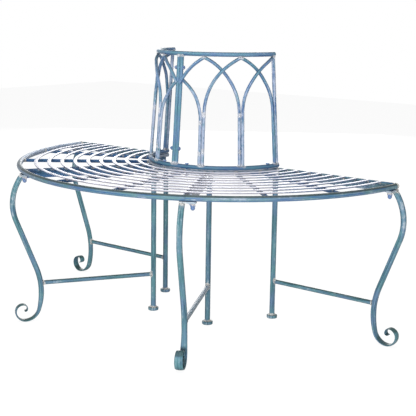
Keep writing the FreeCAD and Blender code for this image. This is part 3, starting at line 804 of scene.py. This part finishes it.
# %% The forged rod of a leg
def ease(share):
    """Goes from 0 to 1 with a soft start and a soft end."""
    share = max(0.0, min(1.0, share))
    return share * share * (3 - 2 * share)


def scroll_leg(bearing, aside):
    """Stations of a leg: round to the waist, hammered flat down to the foot, thinner to the tip."""
    path, rod_end = leg_path()
    lengths = [0.0]
    for a, b in zip(path, path[1:]):
        lengths.append(lengths[-1] + hypot(b[0] - a[0], b[1] - a[1]))
    round_until = next(l for l, p in zip(lengths, path) if p == rod_end or p[1] <= rod_end[1])
    flat_from = next(l for l, p in zip(lengths, path) if p[2] >= pi / 2 - 0.001)
    stations = []
    for (radius, height, heading), length in zip(path, lengths):
        flattened = ease((length - round_until) / (flat_from - round_until))
        thinned = max(0.0, (length - flat_from) / (lengths[-1] - flat_from))
        wide, thick = [rod + (blade - rod) * flattened + (tip - blade) * thinned
                       for rod, blade, tip in ((leg_rod, blade_width, tip_width),
                                               (leg_rod, blade_thickness, tip_thickness))]
        stations.append((place(radius, bearing, height, aside), wide / 2, thick / 2, sideways(bearing)))
    return stations


# %% [markdown]
# ### Sawing the legs level
# Under its plate a leg ends in a level cut, while its path still leans. A Boolean could cut
# it. Cutting the mesh with a plane does the same with less to go wrong, because the cut is one
# loop of edges that is then filled.

# %% Sawing
def sawn_level(mesh, height):
    """Cuts a mesh off level at a height and closes the cut."""
    cut = bmesh.new()
    cut.from_mesh(mesh)
    everything = cut.verts[:] + cut.edges[:] + cut.faces[:]
    made = bmesh.ops.bisect_plane(cut, geom=everything, plane_co=(0, 0, height), plane_no=upwards,
                                  clear_outer=True)
    rim = [part for part in made["geom_cut"] if isinstance(part, bmesh.types.BMEdge)]
    bmesh.ops.edgeloop_fill(cut, edges=rim)
    bmesh.ops.recalc_face_normals(cut, faces=cut.faces[:])
    cut.to_mesh(mesh)
    cut.free()


# %% Where the legs stand
end_leg_inset = 8 * mm
joint_leg_step = 8 * mm
legs = {"right": (0.0, end_leg_inset), "front_right": (section_angle, 0.0),
        "front_left": (2 * section_angle, 0.0), "left": (180.0, -end_leg_inset)}
steps = {name: joint_leg_step if name.startswith("front") else 0.0 for name in legs}
print("the legs stand at bearings", [round(bearing) for bearing, aside in legs.values()])

# %% Making the scroll legs
scrolls = {}
# the upper leg is rubbed pale: partly wear, and partly a painted highlight
rub_and_highlight_starts = bulge_height - 60 * mm
rub_and_highlight_full = bulge_height + 30 * mm


def leg_wear_and_highlight(point):
    """The bulge of a leg, which knees and shins meet, is rubbed more than the rest;
    the pale rub there is also a painted highlight.
    """
    return 0.25 + 0.25 * ease((point.z - rub_and_highlight_starts) / (rub_and_highlight_full - rub_and_highlight_starts))


for number, (name, (bearing, aside)) in enumerate(legs.items()):
    swing = atan(steps[name] / (rim_radius - ring_radius))
    scrolls[name] = (bearing + degrees(swing), aside - ring_radius * sin(swing))
    path_bars("scroll_" + name, "legs", ["scroll_leg_" + name], [scroll_leg(*scrolls[name])], sides=28,
              squareness=2.2, seed=31.0 + 2 * number, dent_size=22 * mm, dent_depth=0.35 * mm, worn=leg_wear_and_highlight)
    sawn_level(dressed[-1].data, leg_top)

# %% [markdown]
# ## Straight legs and stretchers
# Under the inner hoop stand four straight legs of tube. A level rod ties each to its scroll
# leg, so that the thin iron can't spread when someone sits down.

# %% Straight legs and stretchers
post_tube = 16 * mm
cap_floor = 3 * mm
flange_thickness = 5 * mm
post_top = bar_bottom - flange_thickness
stretcher_rod = 13 * mm
stretcher_height = 114 * mm
post_wear = 0.25
# the stretcher of the front right leg is rubbed pale
tie_wear = {"right": 0.3, "front_right": 0.9, "front_left": 0.3, "left": 0.3}
# the scroll comes past this height again, so only the first 70 stations are searched
above_scroll = leg_path()[0][:70]
waist_at_stretcher = min(above_scroll, key=lambda station: abs(station[1] - stretcher_height))[0]
stretcher_start = ring_radius + post_tube / 2 + fit_gap
stretcher_end = waist_at_stretcher - leg_rod / 2 + 0.5 * mm
for number, (name, (bearing, aside)) in enumerate(legs.items()):
    foot, head = [place(ring_radius, bearing, z, aside) for z in (cap_floor, post_top)]
    post = straight_bar(foot, head, post_tube, post_tube, sideways(bearing), edge=0.4 * mm)
    path_bars("post_leg_" + name, "legs", ["inner_leg_" + name], [post], sides=26,
              seed=41.0 + 2 * number, dent_size=35 * mm, worn=post_wear)
    swung, shifted = scrolls[name]
    near, far = [place(radius, swung, stretcher_height, shifted)
                 for radius in (stretcher_start, stretcher_end)]
    tie = straight_bar(near, far, stretcher_rod, stretcher_rod, sideways(swung), edge=0.4 * mm)
    path_bars("tie_rod_" + name, "legs", ["stretcher_" + name], [tie], sides=24, seed=51.0 + 2 * number,
              dent_size=20 * mm, dent_depth=0.2 * mm, worn=tie_wear[name])

# %% [markdown]
# ## Turned and milled pieces
# Foot caps, bolts and nuts are turned on a lathe, and the hexagons are milled. Both are short
# bars in the sense of the forging group: a profile of distances and radii along an axis, cut
# back to six flats where there is a hexagon. So they need no tree of their own.

# %% Turning
# far less than anything shows: it keeps the stations of a flat face apart
hair = 0.002 * mm


def turned(base, axis, profile):
    """Stations of a turned piece from its profile of (distance along the axis, radius)."""
    across = axis.orthogonal().normalized()
    return [(base + axis * (distance + k * hair), radius, radius, across)
            for k, (distance, radius) in enumerate(profile)]


def both_ends(length, start):
    """A profile whose end is its start turned round."""
    return start + [(length - distance, radius) for distance, radius in reversed(start)]


# %% Foot caps
cap_radius = 16 * mm
cap_height = 10 * mm
cap_edge = 2.5 * mm
corner = [(cap_edge * (1 - cos(a)), cap_radius - cap_edge * (1 - sin(a)))
          for a in (0.0, 0.4, 0.8, 1.2, pi / 2)]
cap_profile = both_ends(cap_height, [(0.0, cap_radius / 4), (0.0, cap_radius - 2 * cap_edge)] + corner)
for number, (name, (bearing, aside)) in enumerate(legs.items()):
    cap = turned(place(ring_radius, bearing, 0.0, aside), upwards, cap_profile)
    path_bars("turned_foot_" + name, "legs", ["foot_cap_" + name], [cap], sides=40, dent_depth=0.2 * mm,
              dent_size=8 * mm, seed=57.0 + number, worn=0.5)

# %% [markdown]
# ## Flanges, plates and studs
# A flange on each straight leg carries the ends of the bars. Each scroll leg ends under a small
# plate, and a stud with a domed nut draws the rim down on it. Where two sections of the seat
# meet, the leg stands under one and its plate reaches under the other, so that the stud joins
# them. The plates were cut with shears, so their corners are a little soft.

# %% Sizes of flanges and plates
flange_length = 36 * mm
flange_width = 30 * mm
plate_reach = 36 * mm
plate_width = 16 * mm
stud_offset = 27 * mm
stud_sides = {name: 1 if name == "right" else -1 for name in legs}
flange_start = ring_radius - post_tube / 2 - 2 * mm
pad_edge = 1 * mm
plate_wear = 1.3
print("a stud stands", round(stud_offset / mm), "mm beside its leg")

# %% Flanges and plates
flanges = []
plates = []
for name, (bearing, aside) in legs.items():
    shift = flange_width / 2 * ((aside > 0) - (aside < 0))
    middle = post_top + flange_thickness / 2
    near, far = [place(flange_start + reach, bearing, middle, shift) for reach in (0.0, flange_length)]
    flanges.append(straight_bar(near, far, flange_width, flange_thickness, sideways(bearing),
                                edge=pad_edge, step=4 * mm))
    middle = plate_top - plate_thickness / 2
    near, far = [place(rim_radius, bearing, middle, aside + steps[name] + stud_sides[name] * reach)
                 for reach in (-leg_rod / 2, plate_reach)]
    plates.append(straight_bar(near, far, plate_width, plate_thickness, outwards(bearing),
                               edge=pad_edge, step=3 * mm))
path_bars("leg_pads", "legs", ["leg_flanges"], flanges, sides=28, squareness=8.0, seed=61.0,
          dent_size=12 * mm, dent_depth=0.25 * mm)
path_bars("stud_plates", "legs", ["rim_plates"], plates, sides=28, squareness=7.0, seed=63.0,
          dent_size=9 * mm, dent_depth=0.35 * mm, worn=plate_wear)

# %% [markdown]
# ### Domed nuts
# Below each plate the stud ends in a nut: a hexagon with a long dome on it. In the profile
# the dome is a quarter circle, and it is narrower than the flats, so they don't cut it. The
# hexagon is rubbed pale and the dome is not.

# %% Domed nuts
nut_flats = 12.8 * mm
nut_corner = nut_flats / 2 / cos(pi / 6)
nut_collar = 7.4 * mm
dome_radius = 5.9 * mm
dome_height = 18 * mm
nut_slope = (nut_corner - dome_radius) * tan(pi / 6)
dome_start = dome_height - dome_radius
stud_profile = [(0.0, dome_radius / 4), (0.0, dome_radius), (nut_slope, nut_corner), (nut_collar, nut_corner),
                (nut_collar + nut_slope, dome_radius)]
for k in range(10):
    a = pi / 2 * k / 9
    stud_profile.append((dome_start + dome_radius * sin(a), max(dome_radius * cos(a), 0.1 * mm)))
collar_bottom = plate_top - plate_thickness - nut_collar


def stud_wear(point):
    return 1.3 if point.z > collar_bottom else 0.2


studs = []
for name, (bearing, aside) in legs.items():
    seat = place(rim_radius, bearing, plate_top - plate_thickness,
                 aside + steps[name] + stud_sides[name] * stud_offset)
    studs.append(turned(seat, -upwards, stud_profile))
path_bars("domed_nuts", "fasteners", ["leg_studs"], studs, sides=48, flats=nut_flats, dent_depth=0.08 * mm,
          dent_size=5 * mm, worn=stud_wear)

# %% [markdown]
# ## The arcade of the back
# Each panel has two uprights made of paired rods. At the spring each rod leaves its pair and
# bends over to the next bay, so that the rods cross like the ribs of a vault. Half way over,
# one rod passes in front and the other behind, which is how they can be welded where they
# cross. Beside the joint post there was no room for a whole bay, so two short bends fill it.

# %% Sizes of the back
first_upright, second_upright = 35.7, 67.2  # their bearings
post_rod = 11 * mm
arch_rod = 9.8 * mm
spring_height = rail_low + 156 * mm
side_spring_height = rail_low + 131 * mm
side_meet_height = rail_high - 74 * mm
crown_height = rail_high - rail_rod / 2 - 2.6 * mm
beside_pair = arch_rod / 2 + fit_gap / 2
beside_post = post_rod + fit_gap + arch_rod / 2
in_front = arch_rod / 2 + fit_gap / 2
print("the arches spring", round((spring_height - rail_low) / mm), "mm above the lower rail")

# %% Stations of a rod
def round_rod(points, size):
    """Stations of a round rod through points of the back."""
    stations = []
    for k, point in enumerate(points):
        forward = points[min(k + 1, len(points) - 1)] - points[max(k - 1, 0)]
        across = forward.cross(Vector((point.x, point.y - axis_y, 0))).normalized()
        stations.append((point, size / 2, size / 2, across))
    return stations


# %% [markdown]
# ### The curve of an arch
# An arch rod goes straight up beside its upright and then turns over, steadily, until it meets
# the next one. Drawn on a flat sheet that is part of a circle. The back leans and is curved, so
# the sheet is wrapped round it: height sets the radius, and the way across is a bearing.

# %% Arches
rise_steps = 30
bend_steps = 44
# the share of the way over in which a rod steps out of its pair, and back in at the end
step_share = 0.3


def arch(start, spring, end, crown, aside, depth, ends_out=False):
    """Up beside the upright to the spring, then bent over to the end bearing."""
    heights = [rail_low + (spring - rail_low) * k / rise_steps for k in range(rise_steps)]
    points = [place(back_radius(z), start, z, aside) for z in heights]
    begin = start + degrees(atan(aside / back_radius(spring)))
    spread = hypot(back_radius(spring), aside) - back_radius(spring)
    span = radians(abs(end - begin)) * back_radius((spring + crown) / 2)
    turn = 2 * atan(span / (crown - spring))
    for k in range(bend_steps + 1):
        a = turn * k / bend_steps
        z = spring + (crown - spring) * sin(a) / sin(turn)
        share = (1 - cos(a)) / (1 - cos(turn))
        out = ease(share / step_share)
        back_in = 1 if ends_out else ease((1 - share) / step_share)
        radius = back_radius(z) + spread * (1 - out) + depth * out * back_in
        points.append(place(radius, begin + (end - begin) * share, z))
    return points


# %% The short bend
def short_bend(start, low, end, crown, depth, steps=28):
    """From the joint post over to the nearest upright, on a circle twice as large as its chord."""
    span = radians(abs(end - start)) * back_radius((low + crown) / 2)
    chord = hypot(span, crown - low)
    size = 2 * chord
    slant = atan2(span, crown - low)
    half = asin(chord / 2 / size)
    points = []
    for k in range(steps + 1):
        a = slant - half + 2 * half * k / steps
        share = size * (cos(slant - half) - cos(a)) / span
        z = low + size * (sin(a) - sin(slant - half))
        radius = back_radius(z) + depth * ease((1 - share) / 0.4)
        points.append(place(radius, start + (end - start) * share, z))
    return points


# %% The rods of one panel
post_bearing = panel_angle - degrees(post_rod / 2 / back_radius(side_meet_height))
end_bearing = degrees(post_rod / 2 / back_radius(rail_high))
behind = -in_front
rods = {
    "arch_post": arch(0, spring_height, first_upright, crown_height, beside_post, behind),
    "arch_first_out": arch(first_upright, spring_height, end_bearing, crown_height, -beside_pair, in_front),
    "arch_first_in": arch(first_upright, spring_height, second_upright, crown_height, beside_pair, behind),
    "arch_second_out": arch(second_upright, spring_height, first_upright, crown_height, -beside_pair,
                            in_front),
    "arch_second_in": arch(second_upright, side_spring_height, post_bearing, side_meet_height, beside_pair,
                           behind, ends_out=True),
    "arch_joint": short_bend(post_bearing, side_meet_height - arch_rod, second_upright, crown_height,
                             in_front),
}
posts = {"end_post": (0.0, post_rod / 2), "joint_post": (panel_angle, -(post_rod + fit_gap) / 2)}
for post, (bearing, aside) in posts.items():
    heights = [rail_low + (rail_high - rail_low) * k / 40 for k in range(41)]
    rods[post] = [place(back_radius(z), bearing, z, aside) for z in heights]
print("each panel has", len(rods), "rods")

# %% [markdown]
# ### Both panels
# The left panel is the right one seen in a mirror. Mirroring the finished mesh would turn its
# faces inside out, so the points are mirrored and the rods forged from them as before.

# %% Both panels
rod_wear = {"end_post": 0.7, "joint_post": 0.1, "arch_post": 0.35}


def upright_wear(point):
    """The paired rods are rubbed palest below the spring."""
    return 0.8 - 0.4 * ease((point.z - spring_height) / (60 * mm))


def flipped(points):
    return [Vector((-point.x, point.y, point.z)) for point in points]


panels = {"right": rods, "left": {name: flipped(points) for name, points in rods.items()}}
for number, (side, panel) in enumerate(panels.items()):
    for order, (name, points) in enumerate(panel.items()):
        path_bars("rod_" + name + "_" + side, "back", [name + "_" + side],
                  [round_rod(points, post_rod if name in posts else arch_rod)], sides=20,
                  seed=70.0 + 20 * number + order, dent_size=13 * mm, dent_depth=0.25 * mm,
                  worn=rod_wear.get(name, upright_wear))

# %% [markdown]
# ## Bolts and nuts
# Upright bolts hold the panels to the hoop of the seat, and two level ones join the panels.
# A nut's corners are turned down before its flats are cut, which leaves the curved line on
# each flat. The forging group gives that line by itself, because it cuts the flats last.

# %% Bolts
bolt_rod = 6 * mm
bolt_flats = 10 * mm
head_height = 4 * mm
nut_height = 5 * mm
bolt_tail = 3 * mm
thread_pitch = 1 * mm
bolt_corner = bolt_flats / 2 / cos(pi / 6)
# the face of a hexagon is a little smaller than its flats, and so is the foot of a thread
turned_face = 0.92
bolt_face = bolt_flats / 2 * turned_face
turned_down = [(0.0, bolt_face / 4), (0.0, bolt_face), ((bolt_corner - bolt_face) * tan(pi / 6), bolt_corner)]


def bolt(head_seat, nut_seat):
    """A hexagon head and a threaded shank, from the seat of the head to past the nut."""
    along = (nut_seat - head_seat).normalized()
    length = (nut_seat - head_seat).length + nut_height + bolt_tail
    quarters = 4 * ceil((nut_height + bolt_tail) / thread_pitch)
    thread = [(length - quarter * thread_pitch / 4,
               bolt_rod / 2 * (turned_face + (1 - turned_face) * cos(pi / 2 * quarter)))
              for quarter in range(quarters, 0, -1)]
    shank = [(0.0, bolt_rod / 2)] + thread + [(length, bolt_rod / 2 * 0.7)]
    return [turned(head_seat - along * head_height, along, both_ends(head_height, turned_down)),
            turned(head_seat, along, shank)]


def nut(seat, along):
    return [turned(seat, along, both_ends(nut_height, turned_down))]


# %% Where the bolts go
end_bolt = 12.0
cut_bay_middle = (second_upright + panel_angle) / 2
seat_bolts = []
seat_nuts = []
for bearing in (end_bolt, cut_bay_middle, 180 - cut_bay_middle, 180 - end_bolt):
    head_seat = place(ring_radius, bearing, rail_low + rail_rod / 2 + fit_gap)
    nut_seat = place(ring_radius, bearing, hoop_height - hoop_rod / 2 - fit_gap)
    seat_bolts += bolt(head_seat, nut_seat)
    seat_nuts += nut(nut_seat, -upwards)
panel_bolts = []
panel_nuts = []
reach = Vector((post_rod + fit_gap * 3 / 2, 0, 0))
for z in (rail_low + 49 * mm, rail_high - 40 * mm):
    middle = place(back_radius(z), panel_angle, z)
    panel_bolts += bolt(middle + reach, middle - reach)
    panel_nuts += nut(middle - reach, -reach.normalized())
for name, paths in (("seat_bolts", seat_bolts), ("seat_nuts", seat_nuts),
                    ("panel_bolts", panel_bolts), ("panel_nuts", panel_nuts)):
    path_bars("hexagon_" + name, "fasteners", [name], paths, sides=48, flats=bolt_flats,
              dent_depth=0.05 * mm, dent_size=4 * mm, worn=0.3)

# %% [markdown]
# ## Weld beads
# The bench is welded by hand, and the welds are left as they are: a row of small overlapping
# drops beside each joint, painted over and rubbed back the most. Sculpting them one by one
# would take days. Instead each joint marks where its drops lie and which way they run, and a
# tree puts a drop of random size on each mark, turned along its run, from a fixed seed.

# %% Marking the welds
drop_pitch = 0.6  # as a share of a drop's size
drops = {"seat_frame": [], "legs": [], "back": []}


def weld_line(slot, start, end, size, pitch=drop_pitch):
    """Drops along a line; the pitch is a share of their size."""
    length = (end - start).length
    count = max(1, round(length / (size * pitch)))
    run = (end - start).normalized() if length > 0 else Vector((1, 0, 0))
    for k in range(count):
        drops[slot].append((start + (end - start) * ((k + 0.5) / count), run, size))


def weld_ring(slot, middle, axis, radius, size):
    """Drops all round an axis."""
    u = axis.orthogonal().normalized()
    v = axis.normalized().cross(u)
    count = max(3, round(2 * pi * radius / (size * drop_pitch)))
    for k in range(count):
        a = 2 * pi * k / count
        drops[slot].append((middle + (u * cos(a) + v * sin(a)) * radius, v * cos(a) - u * sin(a), size))


# %% Welds of the seat
def bars_at(bearing):
    """The bars under the slats at a bearing: middle, width, lower edge and the welded sides."""
    if bearing in spoke_bearings:
        return [(0.0, spoke_width, slat_bottom - spoke_height, (-1, 1))]
    if bearing in joint_bearings.values():
        aside = joint_bar_setback + joint_bar_width / 2
        return [(side * aside, joint_bar_width, bar_bottom, (side,)) for side in (-1, 1)]
    side = 1 if bearing == 0 else -1
    return [(side * edge_bar_width / 2, edge_bar_width, bar_bottom, (side,))]


def weld_bar(bearing, low, aside):
    """Welds one side of a bar to the hoop, to the rim and to the slats that it carries."""
    high = min(slat_bottom, hoop_height + 2 * mm)
    weld_line("seat_frame", place(bar_start, bearing, max(low, hoop_height - 5 * mm), aside),
              place(bar_start, bearing, high, aside), size=3.2 * mm)
    weld_line("seat_frame", place(bar_end, bearing, max(low, rim_height - 7 * mm), aside),
              place(bar_end, bearing, slat_bottom, aside), size=3.4 * mm)
    half = slat_width / 2 - 2 * mm
    for row in range(slat_count):
        near, far = [place(slat_first + row * slat_pitch + reach, bearing, slat_bottom - 0.2 * mm, aside)
                     for reach in (-half, half)]
        weld_line("seat_frame", near, far, size=2.6 * mm, pitch=1.1)


for bearing in spoke_bearings + list(joint_bearings.values()) + [0.0, 180.0]:
    for middle, width, low, sides in bars_at(bearing):
        for side in sides:
            weld_bar(bearing, low, middle + side * width / 2)
for bearing, side in ((0.0, 1), (180.0, -1)):
    tip = place(rim_radius, bearing, rim_height, side * 2.2 * mm)
    weld_ring("seat_frame", tip, sideways(bearing), rim_tube / 2 - 0.4 * mm, size=3.4 * mm)
print(len(drops["seat_frame"]), "drops on the seat")

# %% Welds of the legs
for name, (bearing, aside) in legs.items():
    for z, size in ((cap_height, 3.0 * mm), (post_top, 3.2 * mm)):
        weld_ring("legs", place(ring_radius, bearing, z, aside), upwards, post_tube / 2 + 0.4 * mm, size)
    swung, shifted = scrolls[name]
    for radius, side in ((stretcher_start, 1), (waist_at_stretcher - leg_rod / 2, -1)):
        weld_ring("legs", place(radius + side * 0.6 * mm, swung, stretcher_height, shifted),
                  outwards(swung), stretcher_rod / 2 + 0.2 * mm, size=2.6 * mm)
    weld_ring("legs", place(rim_radius + 1 * mm, swung, leg_top, shifted), upwards,
              leg_rod / 2 - 0.3 * mm, size=3.0 * mm)
print(len(drops["legs"]), "drops on the legs")

# %% Welds of the back
def weld_pair(points):
    """Joins a rod to its twin beside it, low down and just below the spring."""
    for share in (0.3, 0.97):
        point = points[0] + (points[rise_steps] - points[0]) * share
        inside = Vector((-point.x, axis_y - point.y, 0)).normalized()
        for face in (-1, 1):
            seam = point + inside * face * 3.4 * mm
            weld_line("back", seam - upwards * 4 * mm, seam + upwards * 4 * mm, size=2.6 * mm)


for panel in panels.values():
    for name, points in panel.items():
        is_post = name in posts
        rod = post_rod if is_post else arch_rod
        if name != "arch_joint":
            weld_ring("back", points[0] + upwards * (rail_rod / 2), upwards, rod / 2, size=2.8 * mm)
        if name != "arch_second_in":
            tip = points[-1] + upwards * (-rail_rod / 2 if is_post else 1.5 * mm)
            weld_ring("back", tip, upwards, rod / 2, size=2.8 * mm)
        if name.endswith("_in") or name == "arch_second_out":
            weld_pair(points)
print(len(drops["back"]), "drops on the back")

# %% [markdown]
# ### The drop tree
# Each mark gets a small ball, stretched along the weld and made lumpy by a noise. It has few
# faces, because there are very many drops and none is more than a few pixels wide.

# %% The drop tree
drop_lump = 2.5 * mm


def drop_tree():
    tree, given, result = new_tree("weld drops", [
        ("Geometry", "Geometry", None), ("Seed", "Int", 5), ("Roughness", "Float", 0.5 * mm),
        ("Paint", "Material", None)])
    marks = add(tree, "GeometryNodeMeshToPoints", given["Geometry"])
    run = add(tree, "GeometryNodeInputNamedAttribute", "run", data_type="FLOAT_VECTOR")
    size = add(tree, "GeometryNodeInputNamedAttribute", "size", data_type="FLOAT")
    turn = add(tree, "FunctionNodeAlignRotationToVector", None, 1.0, run, axis="X")
    vary = add(tree, "FunctionNodeRandomValue", (0.5, 0.42, 0.42), (0.8, 0.62, 0.62), None, given["Seed"],
               data_type="FLOAT_VECTOR")
    stretch = add(tree, "ShaderNodeVectorMath", vary, size, operation="SCALE")
    drop = add(tree, "GeometryNodeMeshUVSphere", 8, 5, 1.0)
    blobs = add(tree, "GeometryNodeInstanceOnPoints", marks, None, drop, None, None, turn, stretch)
    blobs = add(tree, "GeometryNodeRealizeInstances", blobs)
    here = add(tree, "GeometryNodeInputPosition")
    lump = add(tree, "ShaderNodeTexNoise", here, 1 / drop_lump, 2.0, out=1)
    lump = add(tree, "ShaderNodeVectorMath", lump, (0.5, 0.5, 0.5), operation="SUBTRACT")
    lump = add(tree, "ShaderNodeVectorMath", lump, given["Roughness"], operation="SCALE")
    blobs = add(tree, "GeometryNodeSetPosition", blobs, None, None, lump)
    blobs = add(tree, "GeometryNodeSetShadeSmooth", blobs, None, True)
    blobs = add(tree, "GeometryNodeSetMaterial", blobs, None, given["Paint"])
    tree.links.new(blobs, result)
    return tree


weld_drops = drop_tree()
for number, (slot, marks) in enumerate(drops.items()):
    mesh = bpy.data.meshes.new("weld_marks_" + slot)
    mesh.from_pydata([point for point, run, size in marks], [], [])
    runs = [value for point, run, size in marks for value in run]
    sizes = [size for point, run, size in marks]
    mesh.attributes.new("run", "FLOAT_VECTOR", "POINT").data.foreach_set("vector", runs)
    mesh.attributes.new("size", "FLOAT", "POINT").data.foreach_set("value", sizes)
    dress(grown("welds_on_" + slot, weld_drops, {"Seed": 5 + number, "Paint": finish[slot]}, mesh), [])

# %% [markdown]
# ## Wear, and light painted on the slats
# The enamel still has to know how near a point lies to a weld. Paint is thinnest where a weld
# was ground and where the heat scaled the iron, so each point of each piece is told its
# distance to the nearest drop, which a search tree of all the drops finds quickly. The slats
# have no such daubs. They are rubbed pale where the seat is used most, right of the middle of the
# front, and this is also painted light on the faces that the front lamp reaches.
# The left rim is rubbed more and more towards the left end.

# %% Search tree of the welds
marks = [point for each in drops.values() for point, run, size in each]
search = KDTree(len(marks))
for k, point in enumerate(marks):
    search.insert(point, k)
search.balance()
print("the search tree holds", len(marks), "drops")

# %% Wear and painted light that follow the bearing
# round this bearing the slats are rubbed pale, which is also painted light on the faces the front lamp
# reaches
rubbed_and_lit_bearing = 70.0
evenly_rubbed_and_lit = 14
rubbed_and_lit_until = 48


def slat_wear_and_light(turn):
    """Evenly rubbed and lit round one bearing, and then less and less; wear and painted light."""
    return max(0.0, 2.4 - 2.8 * ease((abs(turn - rubbed_and_lit_bearing) - evenly_rubbed_and_lit) / (rubbed_and_lit_until - evenly_rubbed_and_lit)))


def left_rim_wear(turn):
    return 0.55 + 0.4 * ease((turn - 128) / 22)


wear_and_light_by_bearing = {"seat_slats_" + name: slat_wear_and_light for name in sections}
wear_and_light_by_bearing["rim_tube_left"] = left_rim_wear
print("the slats are rubbed most at bearing", rubbed_and_lit_bearing)

# %% Marking the wear
heat_reach = 12 * mm
worn_drops = 0.7


def fill(mesh, label, values):
    """Gives each point of a mesh its own value."""
    if label not in mesh.attributes:
        mesh.attributes.new(label, "FLOAT", "POINT")
    mesh.attributes[label].data.foreach_set("value", values)


for piece in dressed:
    mesh = piece.data
    places = [vertex.co for vertex in mesh.vertices]
    if piece.name in wear_and_light_by_bearing:
        turns = [degrees(atan2(axis_y - co.y, co.x)) for co in places]
        fill(mesh, "worn", [wear_and_light_by_bearing[piece.name](turn) for turn in turns])
    is_slats = piece.name.startswith("seat_slats")
    fill(mesh, "weld", [0.0 if is_slats else 1 - ease(search.find(co)[2] / heat_reach) for co in places])
    for label, value in (("worn", worn_drops), ("along", 0.0)):
        if label not in mesh.attributes:
            fill(mesh, label, [value] * len(places))
print("wear marked on", len(dressed), "pieces")

# %% [markdown]
# ## Floor and world
# The photograph shows the bench on white. A light wall would lift the white, but it would also
# flood the rods and hide their round shape. So the floor is pale grey paper and the world is
# dim, and both look white only to the camera and in reflections. A quarter of what the camera
# sees is still the paper itself, which takes the bench's faint shadow.

# %% What the eye sees
def seen_by_eye(tree):
    """1 where the camera looks or a gloss reflects, 0 where light falls on the bench."""
    path = tree.nodes.new("ShaderNodeLightPath").outputs
    seen = add(tree, "ShaderNodeMath", path["Is Camera Ray"], path["Is Glossy Ray"], operation="MAXIMUM")
    return add(tree, "ShaderNodeMath", seen, path["Is Transmission Ray"], operation="MAXIMUM")


# %% The floor
floor_reach = 7.0
floor_height = -0.5 * mm
corners = [(x * floor_reach, y * floor_reach, floor_height) for x, y in ((-1, -1), (1, -1), (1, 1), (-1, 1))]
floor_mesh = bpy.data.meshes.new("floor")
floor_mesh.from_pydata(corners, [], [(0, 1, 2, 3)])
floor = bpy.data.objects.new("floor", floor_mesh)
scene.collection.objects.link(floor)
print("the floor reaches", floor_reach, "m each way")

# %% Its paper
# matt paper has no gleam of its own, and the glow lifts its grey to white
white = linear("ffffff")
glow_share = 0.75
glow_strength = 1.24
floor_paint = bpy.data.materials.new("white_paper_floor")
floor_paint.use_nodes = True
tree = floor_paint.node_tree
paper = tree.nodes["Principled BSDF"]
paper.inputs["Base Color"].default_value = linear("c0c0c0")
paper.inputs["Roughness"].default_value = 0.9
share = add(tree, "ShaderNodeMath", seen_by_eye(tree), glow_share, operation="MULTIPLY")
glow = add(tree, "ShaderNodeEmission", white, glow_strength)
mixed = add(tree, "ShaderNodeMixShader", share, paper.outputs[0], glow)
tree.links.new(mixed, tree.nodes["Material Output"].inputs[0])
floor_mesh.materials.append(floor_paint)
print("floor:", floor_paint.name)

# %% The world
glow_on_bench = 0.04
glow_to_eye = 1.0
world = bpy.data.worlds.new("studio")
scene.world = world
world.use_nodes = True
tree = world.node_tree
strength = add(tree, "ShaderNodeMapRange", seen_by_eye(tree), 0.0, 1.0, glow_on_bench, glow_to_eye)
tree.links.new(strength, tree.nodes["Background"].inputs["Strength"])
tree.nodes["Background"].inputs["Color"].default_value = white
print("the world gives the bench", glow_on_bench, "and the eye", glow_to_eye)

# %% [markdown]
# ## Lamps
# The light in the photograph is soft and comes from the front, yet the tops of the slats
# gleam. A low lamp near the camera lights the face of every rod, and a broad one overhead
# lights what faces up. A third, broad and low behind the bench, makes the slats gleam and
# keeps the back of the bench from going dark.

# %% Lamps
def lamp(name, bearing, height, distance, size, power):
    """A square lamp aimed at the seat; bearing and height are in degrees."""
    data = bpy.data.lights.new(name, "AREA")
    data.size = size
    data.energy = power
    light = bpy.data.objects.new(name, data)
    light.location = place(distance * cos(radians(height)), bearing, distance * sin(radians(height)))
    aim = Vector((0, 0, seat_top)) - light.location
    light.rotation_euler = aim.to_track_quat("-Z", "Y").to_euler()
    scene.collection.objects.link(light)
    print(name, power, "W,", size, "m wide,", distance, "m away")


lamp("soft_key", 58.0, 8.0, 4.5, 0.8, 182.0)
lamp("overhead", 90.0, 80.0, 3.5, 2.5, 95.0)
lamp("soft_back", 231.5, 14.0, 4.5, 2.5, 60.0)

# %% [markdown]
# ## Camera
# A picture tells where it was taken from, once the real places of enough points in it are
# known. The camera's place, turns and lens were moved until the middle lines of the
# construction's rods fell on those in the photograph. It is a little out of level.

# %% Camera
photo_width = 416
lens_in_pixels = 1004.9
camera_place = Vector((1883.9 * mm, axis_y - 2402.8 * mm, 913.9 * mm))
camera_around = 0.6766
camera_down = 0.1965
camera_roll = 0.0148
camera = bpy.data.cameras.new("camera")
viewer = bpy.data.objects.new("camera", camera)
scene.collection.objects.link(viewer)
scene.camera = viewer
camera.lens = lens_in_pixels / photo_width * camera.sensor_width
level = Vector((cos(camera_around), sin(camera_around), 0))
ahead = Vector((-sin(camera_around) * cos(camera_down), cos(camera_around) * cos(camera_down),
                -sin(camera_down)))
above = level.cross(ahead)
right = level * cos(camera_roll) + above * sin(camera_roll)
above = above * cos(camera_roll) - level * sin(camera_roll)
view = Matrix((right, above, -ahead)).transposed().to_4x4()
view.translation = camera_place
viewer.matrix_world = view
scene.view_settings.view_transform = "Standard"
print("camera lens", round(camera.lens, 1), "mm")
